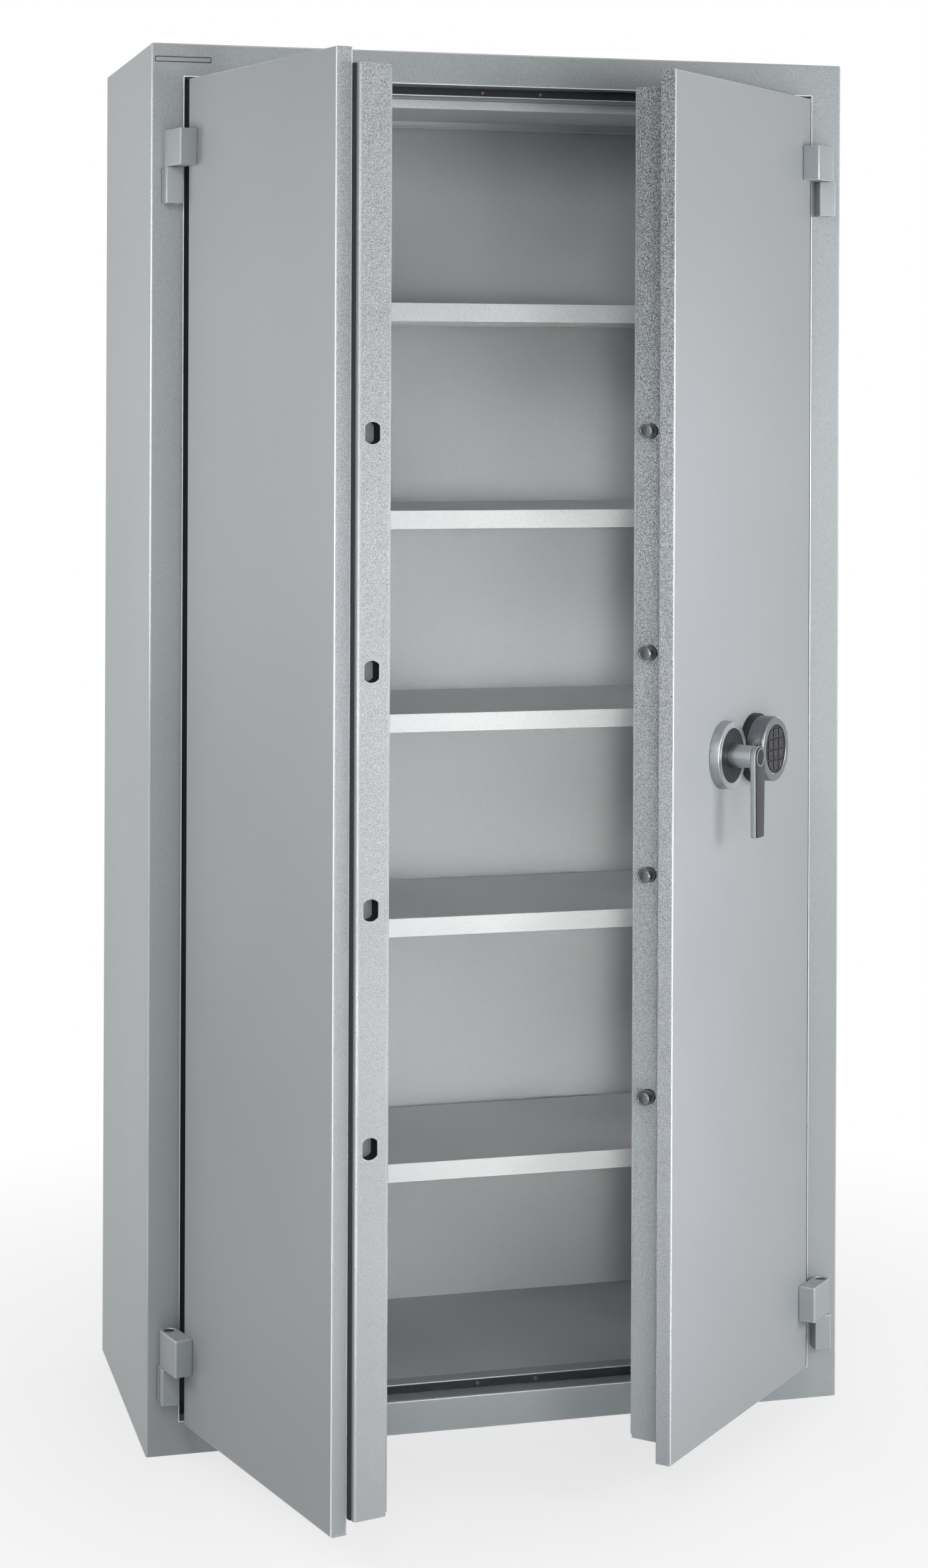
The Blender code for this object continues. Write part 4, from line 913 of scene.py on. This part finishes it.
def build_neck():
    foot = disc_low.z
    shaft = SHAFT_RADIUS - SHAFT_PLAY
    profile = [
        (0, neck_high.z, 0),
        (LEVER_HALF, neck_high.z, SOFT_ROUND),
        (NECK_RADIUS, foot, FINE_ROUND),
        (shaft, foot, 0),
        (shaft, neck_low.z, SHAFT_ROUND),
        (0, neck_low.z, 0),
    ]
    neck = lathe(profile, ring=False)
    fit("handle_neck", neck, SATIN_CHROME, "handle", HANDLE, ["spindle"])


build_neck()
print("neck", round(2000 * NECK_RADIUS, 1), "mm across at the disc")

# %% [markdown]
# ## The keypad
#
# The lock's input unit is a round metal housing on a dark base. A wide flat bezel with a polished rounded
# edge frames a sunken dark pad, and twelve keys stand a millimetre proud of the pad. The housing is turned;
# its fine groove below the bezel is part of the profile. Each key has a pale printed outline and a digit,
# and moves on its own body. The outlines and digits could be painted on, but raised prints stay sharp at
# any distance.

# %% Keypad housing
base_low, base_high = measured("keypad_base", KEYPAD)
body_low, body_high = measured("keypad_body", KEYPAD)
face_low, face_high = measured("keypad_face", KEYPAD)
CABLE_RADIUS = 0.007
BEZEL_EDGE = 0.0036
BEZEL_DEPTH = 0.0062
BEZEL_GROOVE = 0.0005
MOUTH_CHAMFER = (0.0009, 0.0006)
PAD_LEDGE = 0.0026
SHELL_WALL = 0.003


def build_keypad():
    base = [
        (CABLE_RADIUS, base_low.z, 0),
        (base_high.x, base_low.z, SMALL_ROUND),
        (base_high.x, base_high.z, FULL_ROUND),
        (CABLE_RADIUS, base_high.z, 0),
    ]
    fit("keypad_dark_base", lathe(base), CHARCOAL_TRIM, "right_door", KEYPAD, ["keypad_base"])
    radius = body_high.x
    mouth = face_high.x + FITTING_GAP
    ledge = face_low.z - FITTING_GAP
    groove = body_high.z - BEZEL_DEPTH
    inner = radius - SHELL_WALL
    pad_seat = mouth - PAD_LEDGE
    housing = [
        (inner, body_low.z, 0),
        (radius, body_low.z, SMALL_ROUND),
        (radius, groove - BEZEL_GROOVE, FINE_ROUND),
        (radius - BEZEL_GROOVE, groove - BEZEL_GROOVE, 0),
        (radius - BEZEL_GROOVE, groove, 0),
        (radius, groove, FINE_ROUND),
        (radius, body_high.z, BEZEL_EDGE),
        (mouth + MOUTH_CHAMFER[0], body_high.z, FINE_ROUND),
        (mouth, body_high.z - MOUTH_CHAMFER[1], FINE_ROUND),
        (mouth, ledge, 0),
        (pad_seat, ledge, 0),
        (pad_seat, ledge - SHELL_WALL, 0),
        (inner, ledge - SHELL_WALL, 0),
    ]
    fit("keypad_housing", lathe(housing), KEYPAD_METAL, "right_door", KEYPAD, ["keypad_body"])


build_keypad()
print("keypad", round(2000 * body_high.x, 1), "mm across,", round(1000 * body_high.z, 1), "mm proud")

# %% Keys with outlines and digits
KEY_MARKS = ("1", "2", "3", "4", "5", "6", "7", "8", "9", "*", "0", "#")
KEY_COLUMNS = 3
KEY_ROWS = 4
KEY_ROUND = 0.0012
KEY_TOP_ROUND = 0.0005
KEY_OUTLINE = 0.0005
KEY_OUTLINE_INSET = 0.0006
KEY_OUTLINE_RISE = 0.00025
DIGIT_HEIGHT = 0.0058
DIGIT_RISE = 0.00012
DIGIT_BOLDER = 0.00012
DIGIT_STEPS = 4
PAD_MARGIN = 0.0023
middle_low, middle_high = measured("key_5", KEYPAD)
below_low = measured("key_8", KEYPAD)[0]
beside_low = measured("key_6", KEYPAD)[0]
KEY_SIZE = (middle_high.x - middle_low.x, middle_high.y - middle_low.y)
KEY_PITCH = (beside_low.x - middle_low.x, middle_low.y - below_low.y)


def key_outline(centre, inset):
    """A key's rounded rectangle about its own middle, its outer corners cut to the round pad."""
    limit = face_high.x - PAD_MARGIN - inset
    corners = []
    for across, up in ((-1, -1), (1, -1), (1, 1), (-1, 1)):
        x = centre.x + across * (KEY_SIZE[0] / 2 - inset)
        y = centre.y + up * (KEY_SIZE[1] / 2 - inset)
        if math.hypot(x, y) <= limit:
            corners.append((x, y))
            continue
        on_side = (x, up * math.sqrt(limit**2 - x**2))
        on_end = (across * math.sqrt(limit**2 - y**2), y)
        corners += [on_side, on_end] if across * up > 0 else [on_end, on_side]
    return rounded_corners([(x, y, KEY_ROUND - inset / 2) for x, y in corners])


def digit_shape(mark, centre, height):
    """A flat raised digit in the plain built-in letter shapes."""
    curve = bpy.data.curves.new("digit", "FONT")
    curve.body = mark
    curve.size = DIGIT_HEIGHT
    curve.extrude = DIGIT_RISE / 2
    curve.offset = DIGIT_BOLDER
    curve.align_x = "CENTER"
    curve.align_y = "CENTER"
    curve.resolution_u = DIGIT_STEPS
    shape = baked(bpy.data.objects.new("digit", curve))
    bmesh.ops.translate(shape, vec=(centre.x, centre.y, height + DIGIT_RISE / 2), verts=shape.verts)
    return shape


def build_keys():
    for i, mark in enumerate(KEY_MARKS):
        node = f"key_{i + 1}"
        body = f"pad_{i + 1}"
        low, high = measured(node, KEYPAD)
        column = i % KEY_COLUMNS - (KEY_COLUMNS - 1) / 2
        row = (KEY_ROWS - 1) / 2 - i // KEY_COLUMNS
        centre = Vector((KEY_PITCH[0] * column, KEY_PITCH[1] * row))
        cap = punch([key_outline(centre, 0)], low.z, high.z, KEY_TOP_ROUND)
        fit(f"key_cap_{i + 1}", cap, KEY_PLASTIC, body, KEYPAD, [node])
        rims = [key_outline(centre, inset) for inset in (KEY_OUTLINE_INSET, KEY_OUTLINE_INSET + KEY_OUTLINE)]
        outline = punch(rims, high.z - KEY_OUTLINE_RISE, high.z + KEY_OUTLINE_RISE, HAIR_ROUND)
        fit(f"key_outline_{i + 1}", outline, KEY_PRINT, body, KEYPAD)
        digit = digit_shape(mark, centre, high.z)
        fit(f"key_digit_{i + 1}", digit, KEY_PRINT, body, KEYPAD)


build_keys()
for measure, pair in (("size", KEY_SIZE), ("pitch", KEY_PITCH)):
    print("key", measure, "in mm:", [round(1000 * side, 2) for side in pair])

# %% [markdown]
# ## Bolts
#
# Four round bolts stand in the edge of the right door and enter the left one when the handle turns. They
# are turned from bar and zinc plated, with a small rounded chamfer that finds the hole. The lathe makes
# them about Z, so each is laid over along the door before it is fitted. A plain cylinder would do for the
# shank, but it has neither the chamfer nor the fine ring in its face.

# %% Locking bolts
BOLT_COUNT = 4
BOLT_STEPS = 64
BOLT_ROUND = 0.0014
BOLT_RING_INSET = 0.0019
BOLT_RING_WIDTH = 0.0005
LAID_OVER = Matrix.Rotation(-math.pi / 2, 4, "Y")


def build_bolt(node):
    """One bolt with a fine ring turned into its face. Gives its radius, depth in the door and height."""
    lying = RIGHT_DOOR @ LAID_OVER
    low, high = measured(node, lying)
    radius = (high.x - low.x) / 2
    ring = radius - BOLT_RING_INSET
    profile = [
        (0, high.z, 0),
        (ring - BOLT_RING_WIDTH, high.z, HAIR_ROUND),
        (ring - BOLT_RING_WIDTH / 2, high.z - BOLT_RING_WIDTH, 0),
        (ring, high.z, HAIR_ROUND),
        (radius, high.z, BOLT_ROUND),
        (radius, low.z, SOFT_ROUND),
        (0, low.z, 0),
    ]
    turned = lathe(profile, ring=False, steps=BOLT_STEPS)
    place = lying @ centred_on(low, high)
    fit("locking_" + node, turned, ZINC, "bolt_work", place, [node])
    middle = (low + high) / 2
    return radius, middle.y, middle.x


BOLTS = [build_bolt(f"bolt_{i + 1}") for i in range(BOLT_COUNT)]
BOLT_DEPTH = BOLTS[0][1]
BOLT_HEIGHTS = [height for radius, depth, height in BOLTS]
print("bolts", round(2000 * BOLTS[0][0], 1), "mm thick")

# %% [markdown]
# ## Keepers
#
# The bolts enter four holes in the edge of the left door. Behind each hole sits a pressed sleeve with a
# grey floor that stops the filling from crumbling out. The sleeve is coloured black: painted shade inside
# the hole. The bolts are round and the holes have two flats, which leaves them some room up and down. A
# short tube and a plate of the same outline are enough, since only a glimpse of them shows.

# %% Sleeves and floors of the keeper holes
KEEPER_RADIUS = 0.0138
KEEPER_HALF = 0.0105
KEEPER_WALL = 0.0002
KEEPER_ROUND = KEEPER_WALL / 4
KEEPER_STEPS = 16
KEEPER_MOUTH = 0.0016
KEEPER_FLOOR = 0.0186
KEEPER_BACK = 0.0189
KEEPER_GREY = matt_finish("keeper_floor_look", (0.22, 0.25, 0.27), 0.55, 900.0, 0.00001, 0.04)


def keeper_outline(grow):
    """A circle with a flat on each side, drawn out by grow."""
    radius = KEEPER_RADIUS + grow
    lean = math.acos((KEEPER_HALF + grow) / radius)
    top = arc(radius, lean, math.pi - lean, KEEPER_STEPS)
    return [(y, x) for x, y in top + [(-x, -y) for x, y in top]]


def copies(mesh, places):
    """One shape with a copy of the mesh at each place."""
    joined = bmesh.new()
    for place in places:
        before = len(joined.verts)
        joined.from_mesh(mesh)
        joined.verts.ensure_lookup_table()
        bmesh.ops.transform(joined, matrix=place, verts=joined.verts[before:])
    return joined


def build_keepers():
    edge = measured("left_inner_box", LEFT_DOOR)[1].x
    places = [Matrix.Translation((edge, BOLT_DEPTH, height)) @ LAID_OVER for height in BOLT_HEIGHTS]
    outer = keeper_outline(2 * KEEPER_WALL)
    sleeve = punch([outer, keeper_outline(KEEPER_WALL)], KEEPER_MOUTH, KEEPER_FLOOR, KEEPER_ROUND)
    sleeves = copies(kept_mesh("sleeve", sleeve), places)
    # The sleeves' black is painted shade inside the holes.
    fit("keeper_sleeves", sleeves, GROOVE_BLACK, "left_door", LEFT_DOOR)
    floor = punch([outer], KEEPER_FLOOR, KEEPER_BACK, KEEPER_ROUND)
    floors = copies(kept_mesh("floor", floor), places)
    fit("keeper_floors", floors, KEEPER_GREY, "left_door", LEFT_DOOR)


build_keepers()
print("keepers at heights", [round(height, 3) for height in BOLT_HEIGHTS])

# %% [markdown]
# ## Hinges
#
# Each hinge is two steel blocks on one pin: the lower is fixed to the frame and the upper to the door, so a
# door can be lifted off. The blocks were milled, welded to the frame and then painted, and their edges are
# broken just enough to draw a bright line, which the paint's folds widen with a painted highlight. A bevel
# modifier would do it on the solid, but the punch already rounds its rims, holes included. The weld is a
# small rippled fillet in the corner between block and frame.

# %% A weld bead
BEAD_LEG = 0.0036
BEAD_SAG = 0.35
BEAD_RIPPLE = 0.0003
BEAD_PITCH = 0.0035
BEAD_STEPS = 60
BEAD_SIDES = ((0, 1), (1, 2), (2, 3), (3, 0))


def weld_bead(low, high):
    """A rippled fillet up a corner on Z, with its legs along -X and -Y."""
    shape = bmesh.new()
    rows = []
    for step in range(BEAD_STEPS + 1):
        height = low + (high - low) * step / BEAD_STEPS
        leg = BEAD_LEG + BEAD_RIPPLE * math.cos(math.tau * (height - low) / BEAD_PITCH)
        hollow = BEAD_SAG * leg
        corners = [(0, 0), (-leg, 0), (-hollow, -hollow), (0, -leg)]
        rows.append([shape.verts.new((x, y, height)) for x, y in corners])
    for below, above in zip(rows, rows[1:]):
        for i, j in BEAD_SIDES:
            shape.faces.new((below[i], below[j], above[j], above[i]))
    shape.faces.new(rows[0])
    shape.faces.new(rows[-1])
    return welded(shape)


print("weld bead", round(1000 * BEAD_LEG, 1), "mm wide")

# %% Hinge leaves
HINGE_RIM = 0.0007
HINGE_CORNER = 0.0012
PIN_HOLE = 0.0083
HOLE_STEPS = 64
BARREL_STEPS = 24
CASING_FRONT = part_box("outer_casing")[0].y
HINGE_PAINT = painted("smooth_grey_paint")


def bored_block(outline, low, high):
    """A hinge block of one outline, with the hole for its pin."""
    hole = arc(PIN_HOLE, 0, math.tau, HOLE_STEPS)[:-1]
    return punch([outline, hole], low.z, high.z, HINGE_RIM)


def build_frame_leaf(name, side):
    """The fixed block and its weld."""
    upright = centred_on(*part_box(name + "_pin"))
    low, high = measured(name + "_block", upright)
    shape = bored_block(rectangle(low.x, high.x, low.y, high.y, HINGE_CORNER), low, high)
    fit(name + "_frame_leaf", shape, HINGE_PAINT, "cabinet", upright, [name + "_block"])
    outer, flip = (low.x, 1) if side == "left" else (high.x, -1)
    corner = Matrix.Translation((outer, CASING_FRONT - upright.translation.y, 0))
    bead = weld_bead(low.z + HINGE_RIM, high.z - HINGE_RIM)
    bmesh.ops.transform(bead, matrix=corner @ Matrix.Diagonal((flip, 1, 1, 1)), verts=bead.verts)
    fit(name + "_weld", welded(bead), HINGE_PAINT, "cabinet", upright)


def build_door_leaf(name, side, door):
    """The knuckle that swings with the door, round at the pin and square at its other end."""
    low, high = measured(name + "_knuckle", door)
    radius = (high.y - low.y) / 2
    reach = max(low.x, high.x, key=abs)
    turn = math.copysign(math.pi, reach)
    barrel = [(x, y, 0) for x, y in arc(radius, math.pi / 2, math.pi / 2 + turn, BARREL_STEPS)]
    outline = rounded_corners(barrel + [(reach, -radius, HINGE_CORNER), (reach, radius, HINGE_CORNER)])
    shape = bored_block(outline, low, high)
    fit(name + "_door_leaf", shape, HINGE_PAINT, side + "_door", door, [name + "_knuckle"])


for side_name, door_place in (("left", LEFT_DOOR), ("right", RIGHT_DOOR)):
    for level in ("lower", "upper"):
        hinge = f"{side_name}_{level}_hinge"
        build_frame_leaf(hinge, side_name)
        build_door_leaf(hinge, side_name, door_place)
print("hinges: 4 pairs of leaves")

# %% [markdown]
# ## Screws
#
# The covers on the inside of the doors are held by pan-head screws, and the seals in the frame by small
# countersunk ones. A screw head is a turned dome with a cross cut into it. One screw is made, and copies of
# it are joined into one mesh for each place, which is lighter than an object for every screw.

# %% One cross-head screw
SCREW_STEPS = 32
# Shares of the screw's own radius or height.
CROWN_WIDTH = 0.55
CROWN_ROUND = 0.4
SKIRT_HEIGHT = 0.35
SKIRT_ROUND = 0.3
CROSS_LENGTH = 1.15
CROSS_WIDTH = 0.26
CROSS_HEIGHT = 1.1


def cross_screw(radius, height):
    """A screw head on Z with a cross recess, its seat at height zero."""
    dome = [
        (0, height, 0),
        (CROWN_WIDTH * radius, height, CROWN_ROUND * radius),
        (radius, SKIRT_HEIGHT * height, SKIRT_ROUND * height),
        (radius, 0, 0),
        (0, 0, 0),
    ]
    head = bpy.data.objects.new("screw", kept_mesh("screw", lathe(dome, ring=False, steps=SCREW_STEPS)))
    cutters = []
    for turn in (0, math.pi / 2):
        bar = bmesh.new()
        bmesh.ops.create_cube(bar, size=1)
        size = (CROSS_LENGTH * radius, CROSS_WIDTH * radius, CROSS_HEIGHT * height)
        bmesh.ops.scale(bar, vec=size, verts=bar.verts)
        bmesh.ops.rotate(bar, matrix=Matrix.Rotation(turn, 3, "Z"), verts=bar.verts)
        bmesh.ops.translate(bar, vec=(0, 0, height), verts=bar.verts)
        cutter = bpy.data.objects.new("cross", kept_mesh("cross", bar))
        SCENE.collection.objects.link(cutter)
        cutters.append(cutter)
        cut = head.modifiers.new("Cross", "BOOLEAN")
        cut.operation = "DIFFERENCE"
        cut.object = cutter
    shape = baked(head)
    for cutter in cutters:
        bpy.data.objects.remove(cutter, do_unlink=True)
    return kept_mesh("screw_head", shape)


cover_screw = cross_screw(radius=0.0046, height=0.0026)
seal_screw = cross_screw(radius=0.0036, height=0.0012)
print("screw head faces:", len(cover_screw.polygons), "and", len(seal_screw.polygons))

# %% Rows of screws
SCREW_TURN = 0.7
COVER_SCREW_COUNT = 10
COVER_SCREW_MARGIN = 0.009
COVER_SCREW_FIRST = 0.0845
COVER_SCREW_PITCH = 0.198
COVER_SCREW_ACROSS = 3
SEAL_SCREW_SPREAD = 0.043
SEAL_SCREW_MIDDLE = 0.015


def screw_rows(screw, places):
    """One shape with a copy of the screw at each place. Copies are turned differently, as screws end up."""
    return copies(screw, [place @ Matrix.Rotation(SCREW_TURN * i, 4, "Z") for i, place in enumerate(places)])


def cover_screw_places(node, door):
    """Along both upright edges of a rear cover and across its ends."""
    low, high = measured(node, door)
    left = low.x + COVER_SCREW_MARGIN
    right = high.x - COVER_SCREW_MARGIN
    spots = []
    for i in range(COVER_SCREW_COUNT):
        height = COVER_SCREW_FIRST + COVER_SCREW_PITCH * i
        spots += [(left, height), (right, height)]
    for i in range(1, COVER_SCREW_ACROSS + 1):
        across = left + (right - left) * i / (COVER_SCREW_ACROSS + 1)
        spots += [(across, low.z + COVER_SCREW_MARGIN), (across, high.z - COVER_SCREW_MARGIN)]
    facing_in = Matrix.Rotation(-math.pi / 2, 4, "X")
    return [Matrix.Translation((x, high.y, z)) @ facing_in for x, z in spots]


def seal_screw_places():
    """Two at the top and two at the foot of the frame, halfway between seal and liner."""
    seal_low, seal_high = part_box("frame_seal")
    liner_low, liner_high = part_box("inner_liner")
    spots = []
    for height in ((seal_low.z + liner_low.z) / 2, (seal_high.z + liner_high.z) / 2):
        for across in (-SEAL_SCREW_SPREAD, SEAL_SCREW_SPREAD):
            spots.append((SEAL_SCREW_MIDDLE + across, seal_low.y, height))
    return [Matrix.Translation(spot) @ LOOK_OUT for spot in spots]


for side_name, door_place in (("left", LEFT_DOOR), ("right", RIGHT_DOOR)):
    row = screw_rows(cover_screw, cover_screw_places(side_name + "_rear_cover", door_place))
    fit(side_name + "_cover_screws", row, ZINC, side_name + "_door", door_place)
seal_row = screw_rows(seal_screw, seal_screw_places())
fit("frame_seal_screws", seal_row, PIN_STEEL, "cabinet", Matrix.Identity(4))
print("screws on each cover:", 2 * (COVER_SCREW_COUNT + COVER_SCREW_ACROSS))

# %% [markdown]
# ## The blank plate
#
# A narrow plate is stuck to the frame at its upper left. Here it is blank: a thin painted strip with a dark
# line round its field, so the place is finished without naming anyone. One flat strip would do from afar,
# but three heights keep the line sharp from near by.

# %% Plate on the frame
PLATE_LEFT = -0.503
PLATE_RIGHT = -0.424
PLATE_LOW = 1.9235
PLATE_HIGH = 1.9320
PLATE_CORNER = 0.0015
PLATE_PROUD = 0.0012
PLATE_BORDER = 0.0006
PLATE_LINE = 0.0009
LINE_SUNK = 0.0005
FIELD_SUNK = 0.0002


def plate_outline(inset):
    """The plate's outline about its own middle, drawn in by inset."""
    x = (PLATE_RIGHT - PLATE_LEFT) / 2 - inset
    y = (PLATE_HIGH - PLATE_LOW) / 2 - inset
    return rectangle(-x, x, -y, y, PLATE_CORNER)


def build_plate():
    middle = ((PLATE_LEFT + PLATE_RIGHT) / 2, CASING_FRONT, (PLATE_LOW + PLATE_HIGH) / 2)
    place = Matrix.Translation(middle) @ LOOK_OUT
    paint = painted("door_grey_paint")
    whole, framed, inside = [plate_outline(inset) for inset in (0, PLATE_BORDER, PLATE_BORDER + PLATE_LINE)]
    border = punch([whole, framed], 0, PLATE_PROUD, SMALL_ROUND)
    fit("blank_plate_border", border, paint, "cabinet", place)
    line = punch([framed, inside], 0, PLATE_PROUD - LINE_SUNK, HAIR_ROUND)
    fit("blank_plate_line", line, GROOVE_BLACK, "cabinet", place)
    field = punch([inside], 0, PLATE_PROUD - FIELD_SUNK, HAIR_ROUND)
    fit("blank_plate_field", field, paint, "cabinet", place)


build_plate()
print("plate", round(1000 * (PLATE_RIGHT - PLATE_LEFT), 1), "mm wide")

# %% [markdown]
# ## Painted highlight rims round the opening
#
# The sheet's edges round the opening show a thin bright line, and it is painted on as a highlight. The
# paint recipe finds an edge by rounding it, and this sheet is thinner than the rounding. So the two edges,
# in the front of the casing and at the stop behind the doors, each get a hair-thin rim of bright steel
# colour, punched as a frame. The free edge of the left door gets a strip of the same painted highlight up
# each of its corners.

# %% Painted highlight rims round the opening
RIM_WIDTH = 0.0013
RIM_PROUD = 0.00015
SAME_PLANE = 1e-4
# Bright steel colour on thin edges: a painted highlight.
RIM_HIGHLIGHT_STEEL = metal_finish("worn_steel_look", EDGE_HIGHLIGHT_STEEL[:3], 0.32, EVEN, 0.000003, 1.0, EDGE_METAL)


def opening_of(node, plane):
    """Left, right, low and high side of the opening in a solid's face at one depth."""
    points = [vert.co for vert in NODES[node].data.vertices if abs(vert.co.y - plane) < SAME_PLANE]
    middle = (CAD_BOX[0].z + CAD_BOX[1].z) / 2
    left = max(point.x for point in points if point.x < 0)
    right = min(point.x for point in points if point.x > 0)
    low = max(point.z for point in points if point.z < middle)
    high = min(point.z for point in points if point.z > middle)
    return left, right, low, high


def build_highlight_rim(name, node, plane):
    left, right, low, high = opening_of(node, plane)
    rings = [rectangle(left - grow, right + grow, low - grow, high + grow) for grow in (RIM_WIDTH, 0)]
    rim = punch(rings, -RIM_PROUD, RIM_PROUD, RIM_PROUD / 3)
    fit(name, rim, RIM_HIGHLIGHT_STEEL, "cabinet", Matrix.Translation((0, plane, 0)) @ LOOK_OUT)
    print(name, "round an opening of", round(right - left, 4), "by", round(high - low, 4), "m")


seal_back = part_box("frame_seal")[1].y
frame_depths = [vert.co.y for vert in NODES["door_frame"].data.vertices]
build_highlight_rim("opening_rim", "outer_casing", CASING_FRONT)
build_highlight_rim("stop_rim", "door_frame", min(frame_depths, key=lambda depth: abs(depth - seal_back)))

# %% Painted highlight strips up the left door's free edge
STRIP_WIDTH = 0.0009


def build_highlight_strips(node, door, body):
    """A painted highlight strip up the front and the rear corner of a door panel's free edge."""
    low, high = measured(node, door)
    front = ("front", low.y - RIM_PROUD, low.y + STRIP_WIDTH)
    rear = ("rear", high.y - STRIP_WIDTH, high.y + RIM_PROUD)
    for corner, near, far in (front, rear):
        section = rectangle(high.x - STRIP_WIDTH, high.x + RIM_PROUD, near, far)
        strip = punch([section], low.z + STRIP_WIDTH, high.z - STRIP_WIDTH, RIM_PROUD)
        fit(f"{node}_{corner}_strip", strip, RIM_HIGHLIGHT_STEEL, body, door)
    print("strips", round(high.z - low.z - 2 * STRIP_WIDTH, 4), "m long on", node)


build_highlight_strips("left_outer_panel", LEFT_DOOR, "left_door")

# %% [markdown]
# ## Measure and finish
#
# The looks must not change the size, so how much the dressed cabinet's box has grown over the box of its
# solids is printed.

# %% Print the growth and finish
LOOK_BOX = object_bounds()
GROWTH = (LOOK_BOX[1] - LOOK_BOX[0]) - (CAD_BOX[1] - CAD_BOX[0])
print("grown by", [round(1000 * side, 2) for side in GROWTH], "mm")
